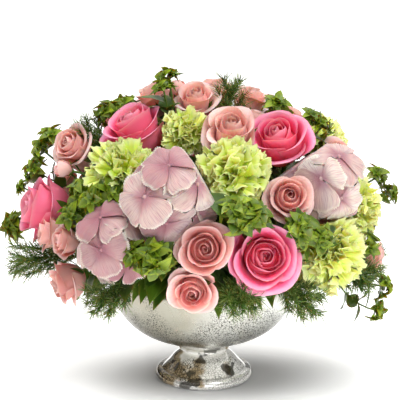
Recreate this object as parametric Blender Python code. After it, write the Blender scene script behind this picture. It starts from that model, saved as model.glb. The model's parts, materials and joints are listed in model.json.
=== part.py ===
"""A round table centerpiece: cut flowers and greens in wet foam, in a silvered glass footed bowl.

Everything is in metres, +Z up.  The origin is the middle of the foot's underside, where the bowl
stands on a table.  Azimuth is measured around +Z from the front, which is -Y, towards +X.
Every stem is pushed into the foam, and carries one flower or a small group of them on the
outside of one dome.  Flowers that press on each other are flat where they meet.
"""
import math
from collections import namedtuple

import bmesh
import bpy
from mathutils import Vector

# ---------------------------------------------------------------- driving dimensions
GAP = 0.0003                 # clearance between pieces that touch

RIM_RADIUS = 0.0995          # outside of the bowl at its rim
RIM_HEIGHT = 0.114
BOWL_DEPTH = 0.0725          # outside, from the rim plane to the bottom of the bowl
BOWL_FULLNESS = 2.35         # exponent of the superellipse: 2 is an ellipse, more is squarer
WALL = 0.0035                # glass at the rim
FLOOR_THICKNESS = 0.006      # glass at the bottom of the bowl
NECK_RADIUS = 0.0235
COLLAR_RADIUS = 0.0272
FOOT_RADIUS = 0.0530
FOOT_FLAT_RADIUS = 0.0460    # the flat underside that stands on the table
GLASS_SIDES = 36
BOWL_STEPS = 7

FOAM_SIDE_CLEARANCE = 0.0025
FOAM_RISE = 0.042            # height of the foam's dome above the rim
FOAM_SIDES = 20
FOAM_STEPS = 4

TAPE_WIDTH = 0.006
TAPE_THICKNESS = 0.0006
TAPE_TAIL = 0.012            # length stuck down the outside of the bowl
TAPE_AZIMUTH = 127.0

HEART = Vector((0.0, 0.0, RIM_HEIGHT))
ENTRY_DROP = 12.0            # a stem goes in this many degrees lower than its flower stands
LOWEST_ENTRY = 17.0          # degrees above the rim plane, so that low stems clear the rim
STEM_IN_FOAM = 0.028
ARRIVAL = 0.4                # share of a stem's length that lines up with its flower
FORK = 0.45                  # where a spray's stem divides, as a share of its free length
STEM_SHARES = (0.0, 0.35, 0.7)
BRANCH_SHARES = (0.0, 0.5)
BRANCH_SLIMNESS = 0.8        # a side stem's thickness as a share of the main one's
HOLE_SIDES = 6

SILVER = (0.78, 0.77, 0.74)
FOAM_GREEN = (0.05, 0.20, 0.09)
TAPE_GREEN = (0.10, 0.28, 0.12)

# ---------------------------------------------------------------- flower forms
# A profile runs from the stem to the tip: distance along the flower's axis from its middle,
# and half width, both in flower radii.
ROSE = ((-0.95, 0.17), (-0.80, 0.48), (-0.45, 0.85), (-0.02, 1.00), (0.32, 0.92), (0.56, 0.62),
        (0.64, 0.25))
CARNATION = ((-1.00, 0.15), (-0.88, 0.27), (-0.45, 0.34), (-0.28, 0.90), (0.02, 1.00), (0.34, 0.86),
             (0.56, 0.45))
HYDRANGEA = ((-0.72, 0.12), (-0.50, 0.50), (-0.32, 0.88), (-0.05, 1.00), (0.26, 0.86), (0.48, 0.55),
             (0.58, 0.20))
UMBEL = ((-0.75, 0.14), (-0.10, 0.75), (0.12, 1.00), (0.34, 0.60))

# stem is the stem's radius; sides are those of the solid; fullness is how much of its radius a
# flower defends when a neighbour presses on it.
Kind = namedtuple("Kind", "profile stem sides fullness colour roughness")
KINDS = {
    "large_rose": Kind(ROSE, 0.0026, 10, 0.95, (0.78, 0.10, 0.25), 0.55),
    "carnation": Kind(CARNATION, 0.0022, 10, 0.85, (0.55, 0.68, 0.16), 0.70),
    "hydrangea": Kind(HYDRANGEA, 0.0028, 12, 0.80, (0.72, 0.52, 0.60), 0.65),
    "spray_rose": Kind(ROSE, 0.0016, 8, 0.95, (0.86, 0.52, 0.45), 0.55),
    "bupleurum": Kind(UMBEL, 0.0011, 5, 0.90, (0.20, 0.34, 0.04), 0.60),
}

# ---------------------------------------------------------------- where the flowers are
# azimuth, elevation and reach place the middle of a flower, seen from the heart of the foam.
# face is the azimuth and elevation that it looks to; by default straight out.
Bloom = namedtuple("Bloom", "azimuth elevation reach radius face", defaults=(None,))

FLOWERS = {
    "large_rose": [
        [Bloom(-68, 65, 0.187, 0.036, (-66, 62))],
        [Bloom(54, 60, 0.187, 0.035, (-20, 54))],
        [Bloom(-85, 24, 0.192, 0.036, (-80, 15))],
        [Bloom(22, 21, 0.169, 0.036, (5, 15))],
        [Bloom(138, 24, 0.170, 0.036)],
        [Bloom(214, 22, 0.170, 0.036)],
        [Bloom(180, 59, 0.180, 0.037)],
    ],
    "carnation": [
        [Bloom(-45, 47, 0.184, 0.034, (-32, 30))],
        [Bloom(-22, 74, 0.179, 0.026, (0, 76))],
        [Bloom(14, 49, 0.186, 0.039, (5, 42))],
        [Bloom(54, 17, 0.172, 0.036, (36, 8))],
        [Bloom(87, 27, 0.186, 0.033, (80, 22))],
        [Bloom(108, 47, 0.203, 0.027, (110, 50))],
        [Bloom(112, 14, 0.172, 0.033)],
        [Bloom(241, 16, 0.174, 0.037)],
        [Bloom(215, 52, 0.184, 0.034)],
    ],
    "hydrangea": [
        [Bloom(-14, 40, 0.168, 0.051)],
        [Bloom(-34, 22, 0.166, 0.042, (-24, 12))],
        [Bloom(60, 39, 0.170, 0.046)],
        [Bloom(176, 26, 0.160, 0.048)],
        [Bloom(141, 51, 0.168, 0.047)],
    ],
    "spray_rose": [
        [Bloom(21, 66, 0.192, 0.026, (0, 50)), Bloom(-65, 87, 0.196, 0.021, (-10, 55)),
         Bloom(76, 72, 0.180, 0.019)],
        [Bloom(-112, 73, 0.203, 0.021, (-95, 60)), Bloom(-120, 81, 0.205, 0.011, (-100, 80)),
         Bloom(-115, 58, 0.196, 0.020), Bloom(-152, 69, 0.196, 0.021)],
        [Bloom(157, 80, 0.200, 0.019, (20, 75)), Bloom(130, 70, 0.200, 0.018, (70, 70)),
         Bloom(106, 60, 0.196, 0.018)],
        [Bloom(35, 38, 0.186, 0.025, (8, 27))],
        [Bloom(0, 24, 0.181, 0.027, (0, 15)), Bloom(-4, 10, 0.168, 0.024, (-5, -2))],
        [Bloom(-86, 46, 0.203, 0.023, (-45, 30)), Bloom(-79, 39, 0.196, 0.012, (-85, 10))],
        [Bloom(-62, 5, 0.166, 0.025, (-70, -14)), Bloom(-73, 19, 0.182, 0.019, (-82, 8)),
         Bloom(-60, 20, 0.178, 0.018, (-65, 15))],
        [Bloom(87, 44, 0.196, 0.020, (40, 45))],
        [Bloom(84, 9, 0.186, 0.018, (80, 0))],
        [Bloom(158, 8, 0.166, 0.024), Bloom(155, 24, 0.184, 0.022)],
        [Bloom(201, 9, 0.166, 0.024), Bloom(191, 3, 0.170, 0.014)],
        [Bloom(250, 42, 0.190, 0.025), Bloom(253, 29, 0.184, 0.018), Bloom(235, 35, 0.184, 0.023)],
        [Bloom(196, 42, 0.186, 0.024)],
        [Bloom(118, 34, 0.182, 0.021)],
    ],
    "bupleurum": [
        [Bloom(-75, 80, 0.227, 0.009), Bloom(-62, 77, 0.219, 0.008)],
        [Bloom(-97, 60, 0.209, 0.011), Bloom(-103, 65, 0.209, 0.011)],
        [Bloom(92, 68, 0.205, 0.011), Bloom(85, 57, 0.212, 0.009), Bloom(86, 53, 0.213, 0.008)],
        [Bloom(-99, 37, 0.226, 0.010), Bloom(-98, 31, 0.221, 0.010), Bloom(-96, 42, 0.226, 0.010),
         Bloom(-97, 25, 0.223, 0.008), Bloom(-96, 14, 0.216, 0.012)],
        [Bloom(-59, 37, 0.190, 0.011), Bloom(-60, 29, 0.185, 0.011), Bloom(-43, 36, 0.196, 0.012)],
        [Bloom(-16, 21, 0.198, 0.014), Bloom(-23, 21, 0.195, 0.010, (-75, 25))],
        [Bloom(11, 34, 0.200, 0.014), Bloom(18, 33, 0.194, 0.011)],
        [Bloom(36, 27, 0.192, 0.012), Bloom(41, 24, 0.198, 0.012)],
        [Bloom(71, 16, 0.194, 0.010), Bloom(75, 1, 0.200, 0.010), Bloom(77, -8, 0.194, 0.008)],
        [Bloom(100, 28, 0.222, 0.010), Bloom(98, 23, 0.224, 0.008)],
        [Bloom(226, 6, 0.186, 0.012), Bloom(222, 37, 0.196, 0.012)],
        [Bloom(121, 4, 0.190, 0.012), Bloom(129, 0, 0.186, 0.010)],
    ],
}

# A frond runs from the foam to its tip, and bends down by droop degrees on the way.
Frond = namedtuple("Frond", "azimuth elevation reach radius droop")
FERN_STEM = 0.0012
FERN_SIDES = 6
FERN_FLATNESS = 0.7
FERN_START = 0.45            # share of the frond's free length that is bare stem
FERN_STEPS = 4
FERN_TIP_STEP = 0.4          # the last ring stands this part of a step before the tip
FERN_BALL_SHARES = (0.62, 0.76, 0.90)
FERN_BALL_PRESS = 0.85       # share of its half width that a plume defends against a neighbour
FERN_BALL_REACH = 1.1
FERN_COLOUR = (0.03, 0.13, 0.04)
FRONDS = [
    Frond(90, 82, 0.214, 0.014, 0),
    Frond(-93, 52, 0.214, 0.012, 5),
    Frond(-79, 8, 0.206, 0.015, 12),
    Frond(-37, 4, 0.176, 0.014, 16),
    Frond(14, 6, 0.160, 0.013, 16),
    Frond(38, 3, 0.174, 0.014, 16),
    Frond(69, 5, 0.188, 0.013, 14),
    Frond(95, 4, 0.192, 0.014, 14),
    Frond(172, 4, 0.190, 0.014, 14),
    Frond(-116, 5, 0.192, 0.014, 14),
]

Ball = namedtuple("Ball", "owner centre radius reach")


# ---------------------------------------------------------------- small helpers
def clear_scene():
    for item in list(bpy.data.objects):
        bpy.data.objects.remove(item, do_unlink=True)


def material(name, colour, roughness, metallic=0.0):
    """One Principled material, made once and shared by its name."""
    found = bpy.data.materials.get(name)
    if found:
        return found
    made = bpy.data.materials.new(name)
    made.use_nodes = True
    shader = made.node_tree.nodes["Principled BSDF"]
    shader.inputs["Base Color"].default_value = (*colour, 1.0)
    shader.inputs["Roughness"].default_value = roughness
    shader.inputs["Metallic"].default_value = metallic
    return made


def direction(azimuth, elevation):
    turn = math.radians(azimuth)
    lift = math.radians(elevation)
    return Vector((math.sin(turn) * math.cos(lift), -math.cos(turn) * math.cos(lift), math.sin(lift)))


def superellipse_radius(depth, width, height, fullness):
    """Half width of a superellipse at a depth under its widest plane."""
    share = min(depth / height, 1.0)
    return width * (1.0 - share ** fullness) ** (1.0 / fullness)


def object_from_bmesh(name, mesh_data, finish):
    bmesh.ops.recalc_face_normals(mesh_data, faces=mesh_data.faces)
    mesh = bpy.data.meshes.new(name)
    mesh_data.to_mesh(mesh)
    mesh_data.free()
    mesh.materials.append(finish)
    mesh.shade_smooth()
    mesh.set_sharp_from_angle(angle=math.radians(40.0))
    made = bpy.data.objects.new(name, mesh)
    bpy.context.collection.objects.link(made)
    return made


def loft(name, rings, finish):
    """A closed skin over rings of points, with a flat cap at each end."""
    work = bmesh.new()
    loops = [[work.verts.new(point) for point in ring] for ring in rings]
    count = len(loops[0])
    for low, high in zip(loops, loops[1:]):
        for side in range(count):
            after = (side + 1) % count
            work.faces.new((low[side], low[after], high[after], high[side]))
    work.faces.new(reversed(loops[0]))
    work.faces.new(loops[-1])
    return object_from_bmesh(name, work, finish)


def circle(centre, axis, side, width, sides, flatness=1.0):
    """Points around an axis; side is the direction of the first one."""
    across = axis.cross(side) * flatness
    points = []
    for step in range(sides):
        angle = math.tau * step / sides
        points.append(centre + (side * math.cos(angle) + across * math.sin(angle)) * width)
    return points


def carried_side(side, axis):
    """The same sideways direction, made square to the next axis, so that a skin doesn't twist."""
    return (side - axis * side.dot(axis)).normalized()


def mark_as_cutter(helper):
    helper.hide_render = True
    helper.display_type = "WIRE"


def combine(target, helpers, operation):
    """Join helpers to the target, or cut them out of it, one Boolean each."""
    for helper in helpers:
        mark_as_cutter(helper)
        change = target.modifiers.new(operation.lower(), "BOOLEAN")
        change.operation = operation
        change.solver = "EXACT"
        change.object = helper


# ---------------------------------------------------------------- bowl, foam and tape
def turned(name, profile, sides, finish):
    """A solid turned about Z from (radius, height) points that start and end on the axis."""
    work = bmesh.new()
    axis_low = work.verts.new((0.0, 0.0, profile[0][1]))
    axis_high = work.verts.new((0.0, 0.0, profile[-1][1]))
    loops = []
    for radius, height in profile[1:-1]:
        loop = []
        for step in range(sides):
            angle = math.tau * step / sides
            loop.append(work.verts.new((radius * math.cos(angle), radius * math.sin(angle), height)))
        loops.append(loop)
    for side in range(sides):
        after = (side + 1) % sides
        work.faces.new((axis_low, loops[0][after], loops[0][side]))
        work.faces.new((axis_high, loops[-1][side], loops[-1][after]))
        for low, high in zip(loops, loops[1:]):
            work.faces.new((low[side], low[after], high[after], high[side]))
    return object_from_bmesh(name, work, finish)


def bowl_curve(width, height, steps):
    """(radius, z) points from the rim plane down a superellipse, without its lowest point."""
    points = []
    for step in range(steps):
        depth = height * math.sin(0.5 * math.pi * step / steps)
        points.append((superellipse_radius(depth, width, height, BOWL_FULLNESS), RIM_HEIGHT - depth))
    return points


def glass_bowl():
    """The bowl, its collar and its foot, blown and pressed as one piece of glass."""
    foot = [
        (0.0, 0.0),
        (FOOT_FLAT_RADIUS, 0.0),
        (FOOT_RADIUS - 0.0022, 0.0018),
        (FOOT_RADIUS, 0.0058),
        (FOOT_RADIUS - 0.0012, 0.0100),
        (FOOT_RADIUS - 0.0062, 0.0140),
        (FOOT_RADIUS - 0.0128, 0.0196),
        (FOOT_RADIUS - 0.0196, 0.0260),
    ]
    neck = [
        (NECK_RADIUS + 0.0022, 0.0316),
        (COLLAR_RADIUS, 0.0334),
        (COLLAR_RADIUS, 0.0362),
        (NECK_RADIUS, 0.0380),
        (NECK_RADIUS, 0.0404),
    ]
    outside = list(reversed(bowl_curve(RIM_RADIUS, BOWL_DEPTH, BOWL_STEPS)))
    lip = [(RIM_RADIUS - WALL / 2.0, RIM_HEIGHT + WALL / 2.0)]
    inside = bowl_curve(RIM_RADIUS - WALL, BOWL_DEPTH - FLOOR_THICKNESS, BOWL_STEPS)
    bottom = [(0.0, RIM_HEIGHT - BOWL_DEPTH + FLOOR_THICKNESS)]
    finish = material("silvered_glass", SILVER, 0.15, 0.9)
    return turned("glass_bowl", foot + neck + outside + lip + inside + bottom, GLASS_SIDES, finish)


def foam_point(azimuth, elevation):
    """A point on the foam's dome, seen from the heart."""
    lift = math.radians(elevation)
    width = RIM_RADIUS - WALL - FOAM_SIDE_CLEARANCE
    distance = 1.0 / math.hypot(math.cos(lift) / width, math.sin(lift) / FOAM_RISE)
    return HEART + direction(azimuth, elevation) * distance


def floral_foam(holes):
    """Wet foam, cut to the bowl below its rim and domed above it, with a hole for every stem."""
    width = RIM_RADIUS - WALL - FOAM_SIDE_CLEARANCE
    depth = BOWL_DEPTH - FLOOR_THICKNESS - GAP
    below = list(reversed(bowl_curve(width, depth, FOAM_STEPS)))
    above = []
    for step in range(1, FOAM_STEPS):
        lift = math.radians(90.0 * step / FOAM_STEPS)
        above.append((width * math.cos(lift), RIM_HEIGHT + FOAM_RISE * math.sin(lift)))
    profile = [(0.0, RIM_HEIGHT - depth)] + below + above + [(0.0, RIM_HEIGHT + FOAM_RISE)]
    foam = turned("floral_foam", profile, FOAM_SIDES, material("foam", FOAM_GREEN, 0.95))
    combine(foam, holes, "DIFFERENCE")
    return foam


def anchor_tape():
    """A strip of tape over the foam, from one side of the rim to the other."""
    out = direction(TAPE_AZIMUTH, 0.0)
    half = Vector((-out.y, out.x, 0.0)) * (TAPE_WIDTH / 2.0)
    width = RIM_RADIUS - WALL - FOAM_SIDE_CLEARANCE
    over_rim = RIM_HEIGHT + WALL / 2.0
    low = [(RIM_RADIUS + GAP, RIM_HEIGHT - TAPE_TAIL), (RIM_RADIUS + GAP, over_rim + GAP)]
    for step in range(1, 2 * FOAM_STEPS):
        angle = math.radians(90.0 * step / FOAM_STEPS)
        low.append(((width + GAP) * math.cos(angle), RIM_HEIGHT + (FOAM_RISE + GAP) * math.sin(angle)))
    low += [(-place, height) for place, height in reversed(low[:2])]
    rings = []
    for count, (place, height) in enumerate(low):
        before = low[max(count - 1, 0)]
        after = low[min(count + 1, len(low) - 1)]
        along = Vector((after[0] - before[0], after[1] - before[1])).normalized()
        inner = out * place + Vector((0.0, 0.0, height))
        outer = inner + (out * along.y + Vector((0.0, 0.0, -along.x))) * TAPE_THICKNESS
        rings.append([inner - half, inner + half, outer + half, outer - half])
    return loft("anchor_tape", rings, material("anchor_tape", TAPE_GREEN, 0.6))


# ---------------------------------------------------------------- stems and flowers
def face_of(bloom):
    if bloom.face:
        return direction(*bloom.face)
    return direction(bloom.azimuth, bloom.elevation)


def middle_of(bloom):
    return HEART + direction(bloom.azimuth, bloom.elevation) * bloom.reach


def curve_point(start, control, end, share):
    """A point on a quadratic curve."""
    rest = 1.0 - share
    return start * (rest * rest) + control * (2.0 * rest * share) + end * (share * share)


def curve_heading(start, control, end, share):
    return ((control - start) * (1.0 - share) + (end - control) * share).normalized()


Route = namedtuple("Route", "start control end")


def stem_route(start, end, arrival_direction):
    """A stem leaves the foam straight and arrives at its flower from behind."""
    control = end - arrival_direction * ((end - start).length * ARRIVAL)
    return Route(start, control, end)


def entry_point(azimuth, elevation):
    """Where the stem of a flower that stands in this direction goes into the foam."""
    return foam_point(azimuth, max(elevation - ENTRY_DROP, LOWEST_ENTRY))


def pressed(point, ball, others):
    """Move a point of a flower back to the flats where its neighbours press on it."""
    for _ in range(3):
        for other in others:
            apart = other.centre - ball.centre
            distance = apart.length
            flat = (distance ** 2 + ball.radius ** 2 - other.radius ** 2) / (2.0 * distance) - GAP
            towards = apart / distance
            beyond = (point - ball.centre).dot(towards) - flat
            if beyond > 0.0:
                point = point - towards * beyond
    return point


def neighbours(ball, balls):
    near = []
    for other in balls:
        if other.owner == ball.owner:
            continue
        if (other.centre - ball.centre).length < other.reach + ball.reach + GAP:
            near.append(other)
    return near


def head_name(stem_name, count):
    return f"{stem_name} head {count}"


def flower_rings(kind, bloom, side, owner, balls):
    """The rings of one flower head, pressed by its neighbours."""
    face = face_of(bloom)
    middle = middle_of(bloom)
    side = carried_side(side, face)
    ball = Ball(owner, middle, bloom.radius * kind.fullness, bloom.radius)
    others = neighbours(ball, balls)
    rings = []
    for along, width in kind.profile:
        ring = circle(middle + face * (along * bloom.radius), face, side, width * bloom.radius, kind.sides)
        rings.append([pressed(point, ball, others) for point in ring])
    return rings


def stem_rings(route, shares, width, sides, side):
    rings = []
    for share in shares:
        heading = curve_heading(*route, share)
        side = carried_side(side, heading)
        rings.append(circle(curve_point(*route, share), heading, side, width, sides))
    return rings, side


def first_side(heading):
    return heading.orthogonal().normalized()


def flower_stem(name, kind_name, blooms, balls):
    """One cut stem with its flower, or a spray with several, as one closed solid."""
    kind = KINDS[kind_name]
    finish = material(kind_name, kind.colour, kind.roughness)
    first = blooms[0]
    start = entry_point(first.azimuth, first.elevation)
    base = middle_of(first) + face_of(first) * (kind.profile[0][0] * first.radius)
    route = stem_route(start, base, face_of(first))
    heading = curve_heading(*route, 0.0)
    side = first_side(heading)
    tip = start - heading * STEM_IN_FOAM
    rings = [circle(tip, heading, side, kind.stem, kind.sides)]
    more, side = stem_rings(route, STEM_SHARES, kind.stem, kind.sides, side)
    rings += more + flower_rings(kind, first, side, head_name(name, 0), balls)
    main = loft(name, rings, finish)
    branches = []
    for count, bloom in enumerate(blooms[1:], start=1):
        owner = head_name(name, count)
        branches.append(branch(f"{name}_branch_{count}", kind, bloom, route, owner, balls, finish))
    combine(main, branches, "UNION")
    return main, stem_hole(name, tip, start, heading, kind.stem)


def branch(name, kind, bloom, route, owner, balls, finish):
    """A side stem that starts inside the main one, with its own flower."""
    fork = curve_point(*route, FORK)
    base = middle_of(bloom) + face_of(bloom) * (kind.profile[0][0] * bloom.radius)
    own_route = stem_route(fork, base, face_of(bloom))
    side = first_side(curve_heading(*own_route, 0.0))
    rings, side = stem_rings(own_route, BRANCH_SHARES, kind.stem * BRANCH_SLIMNESS, kind.sides, side)
    rings += flower_rings(kind, bloom, side, owner, balls)
    return loft(name, rings, finish)


def stem_hole(name, tip, start, heading, stem_radius):
    """The hole that the stem makes in the foam, a little wider and deeper than the stem."""
    width = (stem_radius + GAP) / math.cos(math.pi / HOLE_SIDES)
    side = first_side(heading)
    ends = (tip - heading * GAP, start + heading * (4.0 * stem_radius))
    rings = [circle(end, heading, side, width, HOLE_SIDES) for end in ends]
    return loft(f"{name}_hole", rings, material("foam", FOAM_GREEN, 0.95))


def frond_route(frond):
    start = entry_point(frond.azimuth, frond.elevation)
    end = HEART + direction(frond.azimuth, frond.elevation) * frond.reach
    arrival = direction(frond.azimuth, frond.elevation - frond.droop)
    return stem_route(start, end, arrival)


def frond_width(frond, share):
    """Half width of the plume of needles, from where the bare stem ends to the tip."""
    within = (share - FERN_START) / (1.0 - FERN_START)
    return max(frond.radius * math.sin(math.pi * within ** 0.8) ** 0.6, FERN_STEM)


def fern_balls(name, frond):
    route = frond_route(frond)
    balls = []
    for share in FERN_BALL_SHARES:
        width = frond_width(frond, share)
        centre = curve_point(*route, share)
        balls.append(Ball(name, centre, width * FERN_BALL_PRESS, width * FERN_BALL_REACH))
    return balls


def fern(name, frond, balls):
    """One frond: a bare stem, then a soft plume of needles as one plain solid."""
    route = frond_route(frond)
    own = fern_balls(name, frond)
    heading = curve_heading(*route, 0.0)
    side = first_side(heading)
    tip = route.start - heading * STEM_IN_FOAM
    rings = [circle(tip, heading, side, FERN_STEM, FERN_SIDES)]
    more, side = stem_rings(route, (0.0, FERN_START), FERN_STEM, FERN_SIDES, side)
    rings += more
    for step in range(1, FERN_STEPS + 1):
        share = FERN_START + (1.0 - FERN_START) * step / (FERN_STEPS + FERN_TIP_STEP)
        place = curve_point(*route, share)
        heading_here = curve_heading(*route, share)
        side = carried_side(side, heading_here)
        width = frond_width(frond, share)
        ball = min(own, key=lambda one: (one.centre - place).length)
        others = neighbours(ball, balls)
        ring = circle(place, heading_here, side, width, FERN_SIDES, FERN_FLATNESS)
        rings.append([pressed(point, ball, others) for point in ring])
    rings.append(circle(route.end, curve_heading(*route, 1.0), side, FERN_STEM, FERN_SIDES))
    main = loft(name, rings, material("fern", FERN_COLOUR, 0.6))
    return main, stem_hole(name, tip, route.start, heading, FERN_STEM)


def all_balls():
    """Every flower and plume as a ball, so that each can be pressed by the ones around it."""
    balls = []
    for kind_name, stems in FLOWERS.items():
        for count, blooms in enumerate(stems, start=1):
            for head, bloom in enumerate(blooms):
                owner = head_name(f"{kind_name}_{count}", head)
                radius = bloom.radius * KINDS[kind_name].fullness
                balls.append(Ball(owner, middle_of(bloom), radius, bloom.radius))
    for count, frond in enumerate(FRONDS, start=1):
        balls += fern_balls(f"fern_{count}", frond)
    return balls


def build():
    clear_scene()
    balls = all_balls()
    holes = []
    for kind_name, stems in FLOWERS.items():
        for count, blooms in enumerate(stems, start=1):
            holes.append(flower_stem(f"{kind_name}_{count}", kind_name, blooms, balls)[1])
    for count, frond in enumerate(FRONDS, start=1):
        holes.append(fern(f"fern_{count}", frond, balls)[1])
    floral_foam(holes)
    glass_bowl()
    anchor_tape()


build()
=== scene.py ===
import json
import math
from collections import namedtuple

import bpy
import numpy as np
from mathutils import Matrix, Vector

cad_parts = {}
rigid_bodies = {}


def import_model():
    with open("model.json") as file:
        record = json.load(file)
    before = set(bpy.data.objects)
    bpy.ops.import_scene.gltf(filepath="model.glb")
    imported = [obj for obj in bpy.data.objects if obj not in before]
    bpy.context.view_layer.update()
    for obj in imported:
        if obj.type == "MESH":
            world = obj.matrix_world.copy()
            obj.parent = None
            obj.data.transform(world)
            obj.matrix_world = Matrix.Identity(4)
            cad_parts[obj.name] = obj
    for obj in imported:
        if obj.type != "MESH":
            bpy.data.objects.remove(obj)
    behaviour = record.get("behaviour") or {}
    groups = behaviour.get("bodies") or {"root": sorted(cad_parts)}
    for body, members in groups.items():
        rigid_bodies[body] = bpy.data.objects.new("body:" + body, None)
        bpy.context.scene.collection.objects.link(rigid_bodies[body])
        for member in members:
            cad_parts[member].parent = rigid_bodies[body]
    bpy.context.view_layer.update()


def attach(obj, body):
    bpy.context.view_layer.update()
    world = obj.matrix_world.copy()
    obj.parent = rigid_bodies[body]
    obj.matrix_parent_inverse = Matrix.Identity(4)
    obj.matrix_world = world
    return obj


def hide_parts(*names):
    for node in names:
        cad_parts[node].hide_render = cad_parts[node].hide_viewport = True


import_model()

# %% [markdown]
# # A table centerpiece, flower by flower
# This file dresses a plain model of a round table arrangement: roses, carnations, hydrangea and
# greens, each on its own stem, pushed into wet foam in a silvered glass footed bowl.
# The plain model gives the frame: where every stem goes in, where every flower stands and how big
# it is.  Here each plain solid is replaced by a flower made of petals, in the same place.
# The work goes from the general to the particular: first the tools for nodes and meshes, then
# the finishes, then one kind of flower after the other, and last the table, lights and camera.

BODY = "root"


# %% [markdown]
# ## Writing nodes as sums
# A shader or a geometry tree is a page of boxes and wires.  Written one box at a time it is long
# and hard to read, so a small class stands for one wire.  Arithmetic on it adds the Math nodes:
# `1 - mask * 2` makes two of them.  Every other node comes from one method, which sets the node's
# own settings first and then its sockets.

# %% A wire that can be used in sums
class Value:
    """The output of one node.  Arithmetic on it adds Math nodes to its tree."""

    def __init__(self, graph, socket):
        self.graph = graph
        self.socket = socket

    def other(self, name):
        """Another output of the same node."""
        return Value(self.graph, self.socket.node.outputs[name])


def operator(operation, swapped=False):
    """A sign of arithmetic as a Math node; swapped when the wire comes second."""
    def made(self, other):
        first, second = (other, self) if swapped else (self, other)
        return self.graph.maths(operation, first, second)
    return made


for sign, operation in (("add", "ADD"), ("sub", "SUBTRACT"), ("mul", "MULTIPLY"), ("truediv", "DIVIDE"),
                        ("pow", "POWER")):
    setattr(Value, f"__{sign}__", operator(operation))
    setattr(Value, f"__r{sign}__", operator(operation, swapped=True))
print("signs that work on a wire:", [name for name in vars(Value) if name.startswith("__r")])


# %% A node tree that is written in lines
class Graph:
    """A node tree, with one method for every kind of node."""

    def __init__(self, tree):
        self.tree = tree

    def fill(self, node, inputs):
        """Give sockets of a node their wires or their numbers."""
        for name, value in inputs.items():
            if isinstance(value, Value):
                self.tree.links.new(value.socket, node.inputs[name])
            else:
                node.inputs[name].default_value = value

    def node(self, kind, settings=None, inputs=None, output=0):
        made = self.tree.nodes.new(kind)
        for name, value in (settings or {}).items():
            setattr(made, name, value)
        self.fill(made, inputs or {})
        return Value(self, made.outputs[output])

    def maths(self, operation, *values):
        return self.node("ShaderNodeMath", {"operation": operation}, dict(enumerate(values)))

    def vector(self, x, y, z):
        return self.node("ShaderNodeCombineXYZ", None, {0: x, 1: y, 2: z})

    def parts(self, vector):
        """The three numbers of a vector."""
        x = self.node("ShaderNodeSeparateXYZ", None, {0: vector})
        return x, x.other("Y"), x.other("Z")

    def rise(self, value, low, high):
        """A smooth step from 0 at low to 1 at high."""
        settings = {"interpolation_type": "SMOOTHSTEP"}
        return self.node("ShaderNodeMapRange", settings, {"Value": value, "From Min": low, "From Max": high})

    def mix(self, factor, first, second):
        """One colour laid over another."""
        inputs = {0: factor, 6: first, 7: second}
        return self.node("ShaderNodeMix", {"data_type": "RGBA"}, inputs, 2)

    def noise(self, place, scale, detail=2.0):
        inputs = {"Vector": place, "Scale": scale, "Detail": detail}
        return self.node("ShaderNodeTexNoise", None, inputs, "Fac")

    def cells(self, place, scale, edges=False):
        """How far a point is from the middle of its cell, or from the edge between two cells."""
        settings = {"feature": "DISTANCE_TO_EDGE" if edges else "F1"}
        return self.node("ShaderNodeTexVoronoi", settings, {"Vector": place, "Scale": scale}, "Distance")

    def attribute(self, name):
        return self.node("ShaderNodeAttribute", {"attribute_name": name}, None, "Vector")

    def here(self):
        """Where a point is in its own object, in metres."""
        return self.node("ShaderNodeTexCoord", None, None, "Object")

    def bump(self, height, strength, distance):
        inputs = {"Strength": strength, "Distance": distance, "Height": height}
        return self.node("ShaderNodeBump", None, inputs, "Normal")


print("kinds of node with a method:", [name for name in vars(Graph) if not name.startswith("__")])


# %% A blank finish, and colours
def blank_finish(name):
    """A new material, the graph to write it in, and its main shader."""
    made = bpy.data.materials.new(name)
    made.use_nodes = True
    return made, Graph(made.node_tree), made.node_tree.nodes["Principled BSDF"]


def srgb(red, green, blue):
    """A colour as it is given, 0 to 255, made linear for the shader."""
    linear = [((c / 255 + 0.055) / 1.055) ** 2.4 if c > 10 else c / 3294.6 for c in (red, green, blue)]
    return (*linear, 1.0)


print("pure pink in linear light:", [round(c, 3) for c in srgb(225, 60, 120)[:3]])


# %% [markdown]
# ## Petals and stems as closed sheets
# A petal is thin but not paper: it has two faces that meet in a fine margin.  So one petal is a
# grid of points, doubled to the two sides of its middle surface, and both skins share the margin.
# The mesh is closed, and there is no cut edge to give it away.  Each point also remembers where
# it is on the petal, how old the petal is and which face it is on, so that a finish can follow
# the petal and not the space around it.

# %% A heap of faces for one piece
class Heap:
    """Triangles and what their points remember, gathered until they become one mesh."""

    def __init__(self, *first):
        self.points, self.faces, self.slots = [], [], []
        self.sheet, self.petal = [], []
        self.count = 0
        if first:
            self.add(*first)

    def add(self, points, faces, sheet, petal, slot=0):
        self.points.append(points)
        self.faces.append(faces + self.count)
        self.slots.append(np.full(len(faces), slot))
        self.sheet.append(sheet)
        self.petal.append(petal)
        self.count += len(points)

    def take(self, other, slot=0):
        """Everything in another heap, with one slot of finish."""
        self.add(*other.joined(), slot)

    def joined(self):
        return [np.concatenate(part) for part in (self.points, self.faces, self.sheet, self.petal)]

    def moved(self, change):
        """A copy whose points went through a function."""
        points, *rest = self.joined()
        return Heap(change(points), *rest)


print("a heap keeps:", ", ".join(vars(Heap())))


# %% From a heap to a mesh, and back
LAYERS = ("sheet", "petal")  # where a point is on its petal, and what the petal is like
SHARP_ANGLE = math.radians(60.0)
PATTERN_STEP = 100.0         # moves the pattern of a finish on from one petal to the next


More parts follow.
